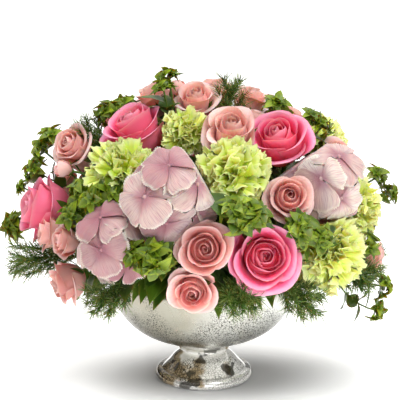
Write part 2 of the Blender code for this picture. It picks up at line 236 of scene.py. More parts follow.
def mesh_of(name, heap, finishes):
    """A smooth mesh from a heap, sharp only along the margins of its petals."""
    points, faces, *layers = heap.joined()
    mesh = bpy.data.meshes.new(name)
    mesh.vertices.add(len(points))
    mesh.vertices.foreach_set("co", points.astype(np.float32).ravel())
    mesh.loops.add(3 * len(faces))
    mesh.loops.foreach_set("vertex_index", faces.astype(np.int32).ravel())
    mesh.polygons.add(len(faces))
    mesh.polygons.foreach_set("loop_start", np.arange(0, 3 * len(faces), 3, dtype=np.int32))
    mesh.polygons.foreach_set("material_index", np.concatenate(heap.slots).astype(np.int32))
    for finish in finishes:
        mesh.materials.append(finish)
    for label, values in zip(LAYERS, layers):
        layer = mesh.attributes.new(label, "FLOAT_VECTOR", "POINT")
        layer.data.foreach_set("vector", values.astype(np.float32).ravel())
    mesh.update(calc_edges=True)
    mesh.validate()
    mesh.shade_smooth()
    mesh.set_sharp_from_angle(angle=SHARP_ANGLE)
    return mesh


def column(items, label, width, kind=np.float32):
    """Numbers that a mesh keeps for each of its items, in one row each."""
    values = np.empty(width * len(items), kind)
    items.foreach_get(label, values)
    return values.reshape(-1, width)


def heap_of(mesh):
    """The heap of a finished mesh, with the tone that each copy of a petal was given."""
    mesh.calc_loop_triangles()
    points = column(mesh.vertices, "co", 3).astype(float)
    faces = column(mesh.loop_triangles, "vertices", 3, np.int32)
    place, facts = (column(mesh.attributes[label].data, "vector", 3) for label in LAYERS)
    tone = column(mesh.attributes["tone"].data, "value", 1)[:, 0]
    place[:, 2], facts[:, 2] = PATTERN_STEP * tone, tone
    return Heap(points, faces, place, facts)


def memory(across, along, side, age, tone):
    """What points remember: their place on the petal, then its age, their face and its tone."""
    full = np.ones(len(across))
    place = np.stack([across, along, full * (PATTERN_STEP * tone)], axis=-1)
    return place, np.stack([full * age, side, full * tone], axis=-1)


print("margins are sharp from, degrees:", round(math.degrees(SHARP_ANGLE)))


# %% A petal as a closed sheet
def sheet(shape, across, along, thickness, age=0.5, tone=0.5):
    """A petal or leaf: shape(u, v) gives its points, u from side to side and v from base to tip."""
    u, v = np.meshgrid(np.linspace(-1, 1, across + 1), np.linspace(0, 1, along + 1), indexing="ij")
    points = np.stack(shape(u, v), axis=-1)
    normal = np.cross(np.gradient(points, axis=0), np.gradient(points, axis=1))
    normal /= np.linalg.norm(normal, axis=-1, keepdims=True) + 1e-12
    inside = np.zeros(u.shape, bool)
    inside[1:-1, 1:-1] = True
    half = 0.5 * thickness * normal
    outer = points + half * inside[..., None]
    front = np.arange(u.size).reshape(u.shape)
    back = front.copy()
    back[inside] = u.size + np.arange(inside.sum())
    faces = []
    for skin, flip in ((front, False), (back, True)):
        a, b, c, d = skin[:-1, :-1], skin[1:, :-1], skin[1:, 1:], skin[:-1, 1:]
        cells = np.stack([a, b, c, a, c, d], axis=-1).reshape(-1, 3)
        faces.append(cells[:, ::-1] if flip else cells)
    all_points = np.concatenate([outer.reshape(-1, 3), (points - half)[inside]])
    across, along = (np.concatenate([part.ravel(), part[inside]]) for part in (u, v))
    side = np.concatenate([np.ones(u.size), np.zeros(inside.sum())])
    return Heap(all_points, np.concatenate(faces), *memory(across, along, side, age, tone))


sample = sheet(lambda u, v: (0 * u, u, v), 8, 6, 0.01)
print("one sheet of 8 by 6 cells has", len(sample.faces[0]), "triangles")


# %% A stem as a closed tube
def ring_faces(rings, sides):
    """Faces between rings of points and over both ends, whose middle points come last."""
    ids = np.arange(sides)
    after = (ids + 1) % sides
    faces = []
    for ring in range(rings - 1):
        low, high = ring * sides, (ring + 1) * sides
        faces.append(np.stack([low + ids, low + after, high + after], axis=1))
        faces.append(np.stack([low + ids, high + after, high + ids], axis=1))
    top, first = (rings - 1) * sides, rings * sides
    faces.append(np.stack([after, ids, np.full(sides, first)], axis=1))
    faces.append(np.stack([top + ids, top + after, np.full(sides, first + 1)], axis=1))
    return np.concatenate(faces)


def tube(path, radii, sides, age=0.5, tone=0.5):
    """A closed round stem along a path of points."""
    path = np.asarray(path, float)
    radii = np.broadcast_to(np.asarray(radii, float), len(path))
    heading = np.gradient(path, axis=0)
    heading /= np.linalg.norm(heading, axis=1, keepdims=True) + 1e-12
    start = np.cross(heading[0], [0.31, 0.2, 0.93])
    rings = []
    for place, radius, ahead in zip(path, radii, heading):
        start = start - ahead * start.dot(ahead)
        start /= np.linalg.norm(start)
        beside = np.cross(ahead, start)
        angle = np.arange(sides) * math.tau / sides
        rings.append(place + radius * (np.outer(np.cos(angle), start) + np.outer(np.sin(angle), beside)))
    points = np.concatenate(rings + [path[:1], path[-1:]])
    along = np.append(np.repeat(np.linspace(0, 1, len(path)), sides), [0.0, 1.0])
    round_it = np.append(np.tile(np.linspace(-1, 1, sides), len(path)), [0.0, 0.0])
    facts = memory(round_it, along, np.ones(len(along)), age, tone)
    return Heap(points, ring_faces(len(path), sides), *facts)


def upright(heights, radii, sides, age):
    """A tube on the axis of a flower."""
    return tube([(0, 0, height) for height in heights], radii, sides, age)


def around(angle, height, radius=1.0):
    """A place or a direction round the axis of a flower."""
    return np.array([radius * math.cos(angle), radius * math.sin(angle), height])


def gathered(maker):
    """Written over a function that yields heaps, this makes it give one heap of them all."""
    def made(*given):
        result = Heap()
        for part in maker(*given):
            result.take(part)
        return result
    return made


def ramp(share, *pairs):
    """A number read off a short line of (share, value) pairs."""
    return np.interp(share, [pair[0] for pair in pairs], [pair[1] for pair in pairs])


sample = tube([(0, 0, 0), (0, 0, 1)], 0.1, 6)
print("one tube of 6 sides has", len(sample.faces[0]), "triangles")


# %% [markdown]
# ## The finishes
# Every part of a plant changes colour over its own surface: a rose petal is deeper towards its
# heart and paler along its margin, and its back is duller than its face.  One recipe serves all of
# them.  It reads what each point remembers, lays the colours over each other, and adds fine veins
# that run from base to tip.  Only the colours and a few strengths differ from plant to plant.

# %% One recipe for petals and leaves
Tint = namedtuple("Tint", "heart outer margin back vein")
VEIN_RELIEF = 0.0006         # metres


def plant_finish(name, skin, plant, margin_width, margin, back, veins=7.0, relief=0.25, veining=0.35,
                 deepen=1.0, fade=0.1, throat=0.45, reach=0.75):
    """A petal or leaf: heart to outer by age, then its base, veins, margin and back."""
    made, graph, shader = blank_finish(name)
    tint = Tint(*(srgb(*pick) for pick in TINTS[plant]))
    across, along, number = graph.parts(graph.attribute("sheet"))
    age, side, tone = graph.parts(graph.attribute("petal"))
    place = graph.vector(across * veins, along * 1.3, number)
    streak = graph.noise(place, 1.6, 3.0)
    cloud = graph.noise(graph.vector(across, along, number + 7.0), 1.3)
    blend = age ** deepen * 0.9 + cloud * 0.3 - 0.1
    colour = graph.mix(blend, tint.heart, tint.outer)
    colour = graph.mix(tone * fade, colour, tint.margin)
    colour = graph.mix((1.0 - graph.rise(along, 0.05, reach)) * throat, colour, tint.heart)
    colour = graph.mix(graph.rise(streak, 0.42, 0.75) * veining, colour, tint.vein)
    edge = graph.maths("MAXIMUM", along, graph.maths("ABSOLUTE", across) * graph.rise(along, 0.25, 0.7))
    rim = graph.rise(edge + cloud * 0.05, 1.0 - margin_width, 1.02)
    colour = graph.mix(rim * margin, colour, tint.margin)
    colour = graph.mix(side * back, colour, tint.back)
    light = {"Color": colour, "Value": tone * 0.22 + 0.89}
    colour = graph.node("ShaderNodeHueSaturation", None, light, "Color")
    graph.fill(shader, {**skin, "Base Color": colour, "Normal": graph.bump(streak, relief, VEIN_RELIEF)})
    return made


SOFT = {"Roughness": 0.55, "Subsurface Weight": 0.30, "Subsurface Scale": 0.004,
        "Sheen Weight": 0.06, "Sheen Roughness": 0.4, "Specular IOR Level": 0.3}
LEAFY = {"Roughness": 0.42, "Subsurface Weight": 0.15, "Subsurface Scale": 0.003}

TINTS = {
    "large_rose": ((240, 6, 88), (250, 126, 172), (255, 190, 212), (246, 134, 148), (242, 76, 134)),
    "spray_rose": ((196, 40, 48), (252, 208, 200), (255, 240, 232), (244, 176, 168), (236, 160, 150)),
    "carnation": ((186, 204, 30), (248, 250, 136), (254, 254, 214), (232, 238, 96), (214, 224, 60)),
    "hydrangea": ((154, 62, 96), (224, 192, 187), (250, 238, 218), (216, 186, 174), (174, 114, 132)),
    "bupleurum": ((50, 84, 4), (178, 198, 24), (206, 214, 60), (96, 128, 14), (56, 92, 6)),
    "leaf": ((34, 66, 8), (84, 118, 22), (122, 150, 44), (92, 122, 44), (34, 64, 8)),
    "fern": ((18, 54, 8), (86, 134, 36), (186, 210, 116), (74, 120, 30), (24, 64, 10)),
}

RECIPES = {
    "large_rose": ("pink rose petal", SOFT, 0.20, 0.65, 0.45, dict(deepen=1.3, throat=0.75, reach=0.95)),
    "spray_rose": ("blush rose petal", SOFT, 0.09, 0.55, 0.55, dict(deepen=0.6, throat=0.50, reach=0.85)),
    "carnation": ("lime carnation petal", SOFT, 0.16, 0.55, 0.20, dict(veins=9.0)),
    "hydrangea": ("mauve hydrangea sepal", SOFT, 0.10, 0.70, 0.15,
                  dict(veins=14.0, relief=1.0, veining=0.80, fade=0.5, throat=0.80, reach=0.55)),
    "bupleurum": ("bupleurum bract", LEAFY, 0.12, 0.5, 0.5,
                  dict(veins=5.0, relief=0.4, veining=0.6, throat=0.85, reach=0.95)),
    "leaf": ("green leaf and stem", LEAFY, 0.10, 0.4, 0.6, dict(veins=5.0, relief=0.5)),
    "fern": ("fern needle", LEAFY, 0.35, 0.5, 0.2, dict(veins=2.0, relief=0.2)),
}
finish = {plant: plant_finish(name, skin, plant, *margins, **strengths)
          for plant, (name, skin, *margins, strengths) in RECIPES.items()}
print("plant finishes:", len(finish))


# %% [markdown]
# ## Where the flowers are
# A florist turns the bowl and builds a dome, so a flower is placed by the direction in which it
# stands, seen from the heart of the foam, and by how far out it reaches.  These are the places of
# the plain model, so each flower lands where its plain solid is.  Azimuth turns round from the
# front towards the right, elevation is above the rim, and face is where the flower looks to.

# %% The florist's list
RIM_RADIUS, RIM_HEIGHT = 0.0995, 0.114
HEART = np.array([0.0, 0.0, RIM_HEIGHT])
FOAM_WIDTH, FOAM_RISE = 0.0935, 0.042
Bloom = namedtuple("Bloom", "azimuth elevation reach radius face", defaults=(None,))

FLOWERS = {
    "large_rose": [
        [(-68, 65, 0.187, 0.036, (-66, 62))], [(54, 60, 0.187, 0.035, (-20, 54))],
        [(-85, 24, 0.192, 0.036, (-80, 15))], [(22, 21, 0.169, 0.036, (5, 15))], [(138, 24, 0.170, 0.036)],
        [(214, 22, 0.170, 0.036)], [(180, 59, 0.180, 0.037)],
    ],
    "carnation": [
        [(-45, 47, 0.184, 0.034, (-32, 30))], [(-22, 74, 0.179, 0.026, (0, 76))],
        [(14, 49, 0.186, 0.039, (5, 42))], [(54, 17, 0.172, 0.036, (36, 8))],
        [(87, 27, 0.186, 0.033, (80, 22))], [(108, 47, 0.203, 0.027, (110, 50))],
        [(112, 14, 0.172, 0.033)], [(241, 16, 0.174, 0.037)], [(215, 52, 0.184, 0.034)],
    ],
    "hydrangea": [
        [(-14, 40, 0.168, 0.051)], [(-34, 22, 0.166, 0.042, (-24, 12))], [(60, 39, 0.170, 0.046)],
        [(176, 26, 0.160, 0.048)], [(141, 51, 0.168, 0.047)],
    ],
    "spray_rose": [
        [(21, 66, 0.192, 0.026, (0, 50)), (-65, 87, 0.196, 0.021, (-10, 55)), (76, 72, 0.180, 0.019)],
        [(-112, 73, 0.203, 0.021, (-95, 60)), (-120, 81, 0.205, 0.011, (-100, 80)),
         (-115, 58, 0.196, 0.020), (-152, 69, 0.196, 0.021)],
        [(157, 80, 0.200, 0.019, (20, 75)), (130, 70, 0.200, 0.018, (70, 70)), (106, 60, 0.196, 0.018)],
        [(35, 38, 0.186, 0.025, (8, 27))],
        [(0, 24, 0.181, 0.027, (0, 15)), (-4, 10, 0.168, 0.024, (-5, -2))],
        [(-86, 46, 0.203, 0.023, (-45, 30)), (-79, 39, 0.196, 0.012, (-85, 10))],
        [(-62, 5, 0.166, 0.025, (-70, -14)), (-73, 19, 0.182, 0.019, (-82, 8)),
         (-60, 20, 0.178, 0.018, (-65, 15))],
        [(87, 44, 0.196, 0.020, (40, 45))], [(84, 9, 0.186, 0.018, (80, 0))],
        [(158, 8, 0.166, 0.024), (155, 24, 0.184, 0.022)],
        [(201, 9, 0.166, 0.024), (191, 3, 0.170, 0.014)],
        [(250, 42, 0.190, 0.025), (253, 29, 0.184, 0.018), (235, 35, 0.184, 0.023)],
        [(196, 42, 0.186, 0.024)], [(118, 34, 0.182, 0.021)],
    ],
    "bupleurum": [
        [(-75, 80, 0.227, 0.009), (-62, 77, 0.219, 0.008)],
        [(-97, 60, 0.209, 0.011), (-103, 65, 0.209, 0.011)],
        [(92, 68, 0.205, 0.011), (85, 57, 0.212, 0.009), (86, 53, 0.213, 0.008)],
        [(-99, 37, 0.226, 0.010), (-98, 31, 0.221, 0.010), (-96, 42, 0.226, 0.010), (-97, 25, 0.223, 0.008),
         (-96, 14, 0.216, 0.012)],
        [(-59, 37, 0.190, 0.011), (-60, 29, 0.185, 0.011), (-43, 36, 0.196, 0.012)],
        [(-16, 21, 0.198, 0.014), (-23, 21, 0.195, 0.010, (-75, 25))],
        [(11, 34, 0.200, 0.014), (18, 33, 0.194, 0.011)], [(36, 27, 0.192, 0.012), (41, 24, 0.198, 0.012)],
        [(71, 16, 0.194, 0.010), (75, 1, 0.200, 0.010), (77, -8, 0.194, 0.008)],
        [(100, 28, 0.222, 0.010), (98, 23, 0.224, 0.008)],
        [(226, 6, 0.186, 0.012), (222, 37, 0.196, 0.012)],
        [(121, 4, 0.190, 0.012), (129, 0, 0.186, 0.010)],
    ],
}
FLOWERS = {kind: [[Bloom(*row) for row in stem] for stem in stems] for kind, stems in FLOWERS.items()}
Frond = namedtuple("Frond", "azimuth elevation reach radius droop")
FRONDS = [
    Frond(90, 82, 0.214, 0.014, 0), Frond(-93, 52, 0.214, 0.012, 5), Frond(-79, 8, 0.206, 0.015, 12),
    Frond(-37, 4, 0.176, 0.014, 16), Frond(14, 6, 0.160, 0.013, 16), Frond(38, 3, 0.174, 0.014, 16),
    Frond(69, 5, 0.188, 0.013, 14), Frond(95, 4, 0.192, 0.014, 14), Frond(172, 4, 0.190, 0.014, 14),
    Frond(-116, 5, 0.192, 0.014, 14),
]
heads = sum(len(blooms) for stems in FLOWERS.values() for blooms in stems)
print("flower heads:", heads, " fronds:", len(FRONDS))


# %% [markdown]
# ## Where a stem runs
# A cut stem goes into the foam a little lower than its flower stands, leaves it straight and turns
# up to arrive behind the flower.  One smooth curve of three points does that.  A spray has one
# main stem that divides just under half way.

# %% Directions, routes and the frame that a flower is set into
STEM = {"large_rose": 0.0026, "carnation": 0.0022, "hydrangea": 0.0028, "spray_rose": 0.0016,
        "bupleurum": 0.0011, "fern": 0.0012}
FLOWER_BASE = {"large_rose": -0.95, "carnation": -1.0, "hydrangea": -0.72, "spray_rose": -0.95,
               "bupleurum": -0.75}
ENTRY_DROP, LOWEST_ENTRY = 12.0, 17.0   # degrees: how much lower a stem goes in, and its limit
ARRIVAL = 0.4                # share of a stem's length that lines up with its flower
STEM_IN_FOAM = 0.026
Route = namedtuple("Route", "start control end")


def unit(vector):
    return vector / np.linalg.norm(vector)


def direction(azimuth, elevation):
    turn, lift = math.radians(azimuth), math.radians(elevation)
    return np.array([math.sin(turn) * math.cos(lift), -math.cos(turn) * math.cos(lift), math.sin(lift)])


def middle_of(bloom):
    return HEART + direction(bloom.azimuth, bloom.elevation) * bloom.reach


def face_of(bloom):
    return direction(*(bloom.face or (bloom.azimuth, bloom.elevation)))


def foam_point(azimuth, elevation):
    lift = math.radians(elevation)
    distance = 1.0 / math.hypot(math.cos(lift) / FOAM_WIDTH, math.sin(lift) / FOAM_RISE)
    return HEART + direction(azimuth, elevation) * distance


def entry_point(azimuth, elevation):
    return foam_point(azimuth, max(elevation - ENTRY_DROP, LOWEST_ENTRY))


def route_to(start, end, arrival):
    return Route(start, end - arrival * (ARRIVAL * np.linalg.norm(end - start)), end)


def along_route(route, shares):
    shares = np.atleast_1d(shares)[:, None]
    rest = 1.0 - shares
    return route.start * rest ** 2 + route.control * 2 * rest * shares + route.end * shares ** 2


def rooted(route, path):
    """A path with one more point in front of it, down in the foam."""
    return np.concatenate([[route.start - unit(route.control - route.start) * STEM_IN_FOAM], path])


def base_of(kind, bloom):
    return middle_of(bloom) + face_of(bloom) * FLOWER_BASE[kind] * bloom.radius


def setting(centre, face, scale, roll):
    """A function that sets local points, with +Z as the flower's axis, into the arrangement."""
    sideways = unit(np.cross(face, [0.0, 0.0, 1.0]) + 1e-6)
    upward = np.cross(sideways, face)
    x_axis = math.cos(roll) * sideways + math.sin(roll) * upward
    y_axis = np.cross(face, x_axis)
    axes = np.stack([x_axis, y_axis, face])
    return lambda points: centre + (points * scale) @ axes


print("stems start this deep in the foam, mm:", round(1000 * STEM_IN_FOAM))


# %% [markdown]
# ## Flowers that press on each other
# In a full arrangement the flowers touch, and soft petals give way.  Half way between two
# neighbours there is a flat where neither gets further.  A petal that would pass it is pushed
# back, more the further it would have gone, so the petals crowd there and don't look cut.

# %% The flats between neighbours
Ball = namedtuple("Ball", "owner centre radius")
FIRM = {"large_rose": 0.95, "carnation": 0.85, "hydrangea": 0.80, "spray_rose": 0.95}
CROWDING = 0.22              # share of a radius over which petals give way
NEAR = 1.25                  # neighbours further apart than this, in their radii, don't touch

balls = []
for kind, firmness in FIRM.items():
    for count, blooms in enumerate(FLOWERS[kind], start=1):
        for number, bloom in enumerate(blooms):
            balls.append(Ball((kind, count, number), middle_of(bloom), bloom.radius * firmness))


def pressed(points, owner):
    own = next(ball for ball in balls if ball.owner == owner)
    give = CROWDING * own.radius
    for ball in balls:
        apart = ball.centre - own.centre
        distance = np.linalg.norm(apart)
        if ball.owner == owner or distance > NEAR * (ball.radius + own.radius):
            continue
        towards = apart / distance
        flat = (distance ** 2 + own.radius ** 2 - ball.radius ** 2) / (2.0 * distance)
        past = (points - own.centre) @ towards - (flat - give)
        moved = np.where(past > 0.0, give * np.tanh(past / give) - past, 0.0)
        points = points + moved[:, None] * towards
    return points


print("heads that press on each other:", len(balls))


# %% [markdown]
# ## Trees that set things out
# Petals round a heart, florets over a head and rays of an umbel follow one rule: each next one
# turns on by the golden angle, and leans out a little more than the last.  One geometry tree says
# that once.  With no lean it makes a rose; with a wide lean it makes a carnation's dome.
# Small, seeded differences in turn, tilt and size keep the copies from looking stamped.

# %% The inputs of a tree, and seeded numbers
TRAY_SOCKETS = [("Items", "Collection"), ("Twist", "Float"), ("Wobble", "Float"), ("Size Change", "Float"),
                ("Seed", "Int"), ("Finish", "Material")]
GOLDEN_ANGLE = math.radians(137.508)


def geometry_graph(name, sockets):
    tree = bpy.data.node_groups.new(name, "GeometryNodeTree")
    tree.interface.new_socket(name="Geometry", in_out="OUTPUT", socket_type="NodeSocketGeometry")
    for label, kind in sockets + TRAY_SOCKETS:
        tree.interface.new_socket(name=label, in_out="INPUT", socket_type="NodeSocket" + kind)
    graph = Graph(tree)
    entry = graph.node("NodeGroupInput")
    return graph, {label: entry.other(label) for label, _ in sockets + TRAY_SOCKETS}


def chance(graph, amount, seed, middle=0.0):
    """A seeded number, at most this amount from the middle."""
    inputs = {2: middle - amount, 3: middle + amount, "Seed": seed}
    return graph.node("FunctionNodeRandomValue", {"data_type": "FLOAT"}, inputs, 1)


def turned(graph, x, y, z):
    return graph.node("FunctionNodeEulerToRotation", None, {0: graph.vector(x, y, z)})


print("inputs that every tree has:", [label for label, _ in TRAY_SOCKETS])


# %% Items from a tray, one on every point
TRAYS = []


def tray(name, heaps):
    """A tray of items, in order, for a tree to set out."""
    made = bpy.data.collections.new(name)
    TRAYS.append(made)
    for number, heap in enumerate(heaps):
        made.objects.link(bpy.data.objects.new(f"{name} {number:02d}", mesh_of(name, heap, [])))
    return made


def planted(graph, want, points, rotation):
    """An item of the tray on every point, with its own tilt, size and tone, as real faces."""
    seed = want["Seed"] * 8.0
    tilt = turned(graph, chance(graph, want["Wobble"], seed + 1.0), chance(graph, want["Wobble"], seed + 2.0),
                  chance(graph, want["Twist"], seed + 3.0))
    inputs = {"Rotation": rotation, "Rotate By": tilt}
    rotation = graph.node("FunctionNodeRotateRotation", {"rotation_space": "LOCAL"}, inputs)
    size = 1.0 + chance(graph, want["Size Change"], seed + 4.0)
    inputs = {"Collection": want["Items"], "Separate Children": True, "Reset Children": True}
    items = graph.node("GeometryNodeCollectionInfo", None, inputs)
    inputs = {"Points": points, "Instance": items, "Pick Instance": True,
              "Instance Index": graph.node("GeometryNodeInputIndex"), "Rotation": rotation,
              "Scale": graph.vector(size, size, size)}
    copies = graph.node("GeometryNodeInstanceOnPoints", None, inputs)
    inputs = {"Geometry": copies, "Name": "tone", "Value": chance(graph, 0.5, seed + 5.0, 0.5)}
    kept_on = {"data_type": "FLOAT", "domain": "INSTANCE"}
    toned = graph.node("GeometryNodeStoreNamedAttribute", kept_on, inputs)
    real = graph.node("GeometryNodeRealizeInstances", None, {"Geometry": toned})
    painted = graph.node("GeometryNodeSetMaterial", None, {"Geometry": real, "Material": want["Finish"]})
    last = graph.tree.nodes.new("NodeGroupOutput")
    graph.tree.links.new(painted.socket, last.inputs["Geometry"])
    return graph.tree


print("golden angle, degrees:", round(math.degrees(GOLDEN_ANGLE), 1))


# %% What a tree makes
def grown(tree, values, start=None):
    """The heap that a geometry tree makes with these inputs."""
    holder = bpy.data.objects.new("nursery", start or bpy.data.meshes.new("nursery"))
    bpy.context.collection.objects.link(holder)
    modifier = holder.modifiers.new("grow", "NODES")
    modifier.node_group = tree
    for item in tree.interface.items_tree:
        if item.in_out == "INPUT" and item.name in values:
            modifier[item.identifier] = values[item.name]
    now = bpy.context.evaluated_depsgraph_get()
    mesh = bpy.data.meshes.new_from_object(holder.evaluated_get(now), depsgraph=now)
    result = heap_of(mesh)
    holder.modifiers.remove(modifier)
    bpy.data.objects.remove(holder)
    bpy.data.meshes.remove(mesh)
    return result


# %% The dome tree
def dome_tree():
    sockets = [("Count", "Int"), ("Spread", "Float"), ("Radius", "Float"), ("Layers", "Float")]
    graph, want = geometry_graph("set out on a dome", sockets)
    index = graph.node("GeometryNodeInputIndex")
    share = (index + 0.5) / want["Count"]
    lean = graph.maths("ARCCOSINE", 1.0 - share * (1.0 - graph.maths("COSINE", want["Spread"])))
    turn = index * GOLDEN_ANGLE + chance(graph, 0.14, want["Seed"] * 8.0)
    radius = want["Radius"] - want["Layers"] * index
    flat_radius = radius * graph.maths("SINE", lean)
    place = graph.vector(flat_radius * graph.maths("COSINE", turn), flat_radius * graph.maths("SINE", turn),
                         radius * graph.maths("COSINE", lean))
    points = graph.node("GeometryNodePoints", None, {"Count": want["Count"], "Position": place})
    return planted(graph, want, points, turned(graph, 0.0, lean, turn))


DOME = dome_tree()


def set_out(items, count, seed, finish_name, spread=0.0, radius=0.0, layers=0.0, twist=0.0, wobble=0.0,
            change=0.0):
    """What the dome tree makes; the angles are in degrees."""
    values = {"Items": items, "Count": count, "Spread": math.radians(spread), "Radius": radius,
              "Layers": layers, "Twist": math.radians(twist), "Wobble": math.radians(wobble),
              "Size Change": change, "Seed": seed, "Finish": finish[finish_name]}
    return grown(DOME, values)


print("the dome tree has", len(DOME.nodes), "nodes")


# %% [markdown]
# ## Roses
# A rose is one petal at many ages.  The heart is a tight scroll of young petals that wrap most of
# the way round; further out they are older, stand lower and wider, and their lips roll back.
# So the petal is a formula of its age: a curve in the flower's own section, wrapped round its
# axis, with one side tucked under the next petal.  The tree turns each petal on by the golden
# angle.  A spray rose has fewer petals and opens wider, and a bud is only the heart.

# %% One rose petal from its age
RoseForm = namedtuple("RoseForm", "petals reach height wrap belly drop lip thickness cells")
LARGE_ROSE = RoseForm(18, ((0, 0.02), (0.35, 0.20), (0.55, 0.34), (0.7, 0.50), (0.85, 0.73), (1, 0.90)),
                      ((0, 0.36), (0.35, 0.42), (0.6, 0.48), (0.75, 0.42), (0.9, 0.20), (1, -0.02)),
                      ((0, 2.6), (0.2, 2.0), (0.4, 1.7), (0.6, 1.5), (1, 1.45)),
                      ((0, 0.10), (0.35, 0.17), (0.6, 0.10), (0.8, -0.12), (1, -0.20)),
                      ((0, 0.5), (0.6, 0.42), (1, 0.22)),
                      ((0, 0.0), (0.3, 0.02), (0.5, 0.06), (0.75, 0.10), (1, 0.13)), 0.010, (14, 11))
SPRAY_ROSE = RoseForm(14, ((0, 0.03), (0.4, 0.26), (0.6, 0.42), (0.8, 0.68), (1, 0.90)),
                      ((0, 0.38), (0.35, 0.42), (0.6, 0.46), (0.8, 0.30), (1, -0.08)),
                      ((0, 2.7), (0.2, 2.0), (0.4, 1.6), (0.7, 1.4), (1, 1.35)),
                      ((0, 0.10), (0.4, 0.17), (0.6, 0.08), (0.8, -0.12), (1, -0.22)),
                      ((0, 0.5), (0.6, 0.42), (1, 0.20)),
                      ((0, 0.0), (0.3, 0.02), (0.5, 0.08), (0.8, 0.14), (1, 0.16)), 0.012, (12, 8))
ROSE_BUD = RoseForm(9, ((0, 0.06), (0.5, 0.30), (1, 0.58)), ((0, 0.62), (0.5, 0.56), (1, 0.35)),
                    ((0, 2.4), (0.5, 1.6), (1, 1.2)), ((0, 0.2), (0.5, 0.28), (1, 0.26)),
                    ((0, 0.5), (1, 0.5)),
                    ((0, 0.0), (0.6, 0.05), (1, 0.14)), 0.030, (10, 7))


def bezier(share, *knots):
    """A cubic curve through the first and last knot."""
    rest = 1.0 - share
    weights = (rest ** 3, 3 * rest ** 2 * share, 3 * rest * share ** 2, share ** 3)
    return sum(weight * knot for weight, knot in zip(weights, knots))


def rose_petal(form, age, draw):
    reach, height, wrap, belly, drop, lip = (ramp(age, *line) for line in form[1:7])
    tuck = ramp(age, (0, 0.22), (0.4, 0.10), (1, 0.05))
    phase = draw.uniform(0, math.tau, 3)
    ripple = 0.012 + 0.040 * age

    def shape(u, v):
        v = v ** 0.8
        up = v * (1.0 - (0.10 + 0.10 * age) * np.abs(u) ** 3)
        out = bezier(up, 0.07, 0.20 + 0.6 * reach, reach + belly, reach)
        rise = bezier(up, -0.88, -0.80, height - drop, height)
        roll = np.clip((up - 0.70) / 0.30, 0.0, 1.0)
        out = out + lip * roll ** 1.6 * (1.0 + 0.3 * u * u)
        rise = rise - 0.9 * lip * roll ** 2.4 * (1.0 + 0.7 * u * u)
        out = out * (1.0 + tuck * u * np.minimum(2 * v, 1.0))
        out = out + ripple * v ** 3 * (np.sin(3.1 * u + phase[0]) + 0.5 * np.sin(6.7 * u + phase[2]))
        rise = rise + ripple * v ** 3 * np.sin(2.3 * u + phase[1])
        rise = rise + 0.05 * age * v ** 6 * np.exp(-(u / 0.22) ** 2)
        angle = u * wrap * ramp(v, (0, 0.35), (0.4, 0.85), (0.8, 1.0), (1, 0.95))
        return out * np.cos(angle), out * np.sin(angle), rise

    return sheet(shape, *form.cells, form.thickness, age)


def rose_petals(form, seed):
    draw = np.random.default_rng(seed)
    ages = np.linspace(0.0, 1.0, form.petals)
    return tray("rose petal", [rose_petal(form, age, draw) for age in ages])


ROSES = {"large": (LARGE_ROSE, rose_petals(LARGE_ROSE, 11)),
         "spray": (SPRAY_ROSE, rose_petals(SPRAY_ROSE, 12)),
         "bud": (ROSE_BUD, rose_petals(ROSE_BUD, 13))}
BUD_RADIUS = 0.0155


def rose_head(kind, bloom, seed):
    which = "large" if kind == "large_rose" else "bud" if bloom.radius < BUD_RADIUS else "spray"
    form, petals = ROSES[which]
    head = set_out(petals, form.petals, seed, kind, wobble=3.5, change=0.04)
    if which != "bud":
        sunk = 0.08 if which == "large" else 0.12
        heights = np.array([-0.85, -0.6, -0.3, -0.04, 0.08, 0.15, 0.18]) - sunk
        packed = upright(heights, [0.10, 0.34, 0.48, 0.46, 0.36, 0.20, 0.05], sides=24, age=0.0)
        packed.sheet[0][:, 1] = 0.3
        head.take(packed)
    return head


print("petals in each rose:", {name: form.petals for name, (form, _) in ROSES.items()})


# %% [markdown]
# ## Carnations
# A carnation is a green tube packed with frilled fans.  Each petal is a narrow claw that opens
# into a wide, toothed, wavy edge, and dozens of them lean out from the mouth of the tube to fill a
# dome.  A few fans drawn with other waves are enough, because the tree turns, tilts and scales
# each copy.  The teeth are a zigzag of exactly two cells each, so few faces still give a crisp edge.

# %% The fan of a carnation
CARNATION_FANS = 70
CARNATION_MOUTH = -0.42


def carnation_fan(draw):
    phase = draw.uniform(0, math.tau, 4)
    waves = draw.uniform(2.6, 4.0)
    length = draw.uniform(0.86, 1.06)
    wide = draw.uniform(0.28, 0.40)
    curl = draw.uniform(0.35, 1.0)

    def shape(u, v):
        width = 0.05 + wide * v ** 1.5
        back = 0.36 * curl * v ** 3
        out = v - 0.15 * curl * v ** 4 - 0.15 * u * u * v
        tilt = 1.2 * curl * v ** 2
        frill = 0.125 * v ** 3 * np.sin(waves * math.pi * u + phase[0])
        frill = frill + 0.030 * v ** 5 * np.sin(1.7 * waves * math.pi * u + phase[1])
        saw = 2.0 * np.abs((5.0 * (u + 1.0)) % 1.0 - 0.5)
        teeth = 0.045 * v ** 8 * saw + 0.04 * v ** 4 * np.sin(5.0 * u + phase[3])
        x = back + frill * np.cos(tilt) + teeth * np.sin(tilt)
        z = out - frill * np.sin(tilt) + teeth * np.cos(tilt)
        return x, width * u, length * z

    return sheet(shape, 20, 5, 0.012, draw.uniform(0, 1))


fans_drawn = np.random.default_rng(21)
FANS = tray("carnation fan", [carnation_fan(fans_drawn) for _ in range(9)])


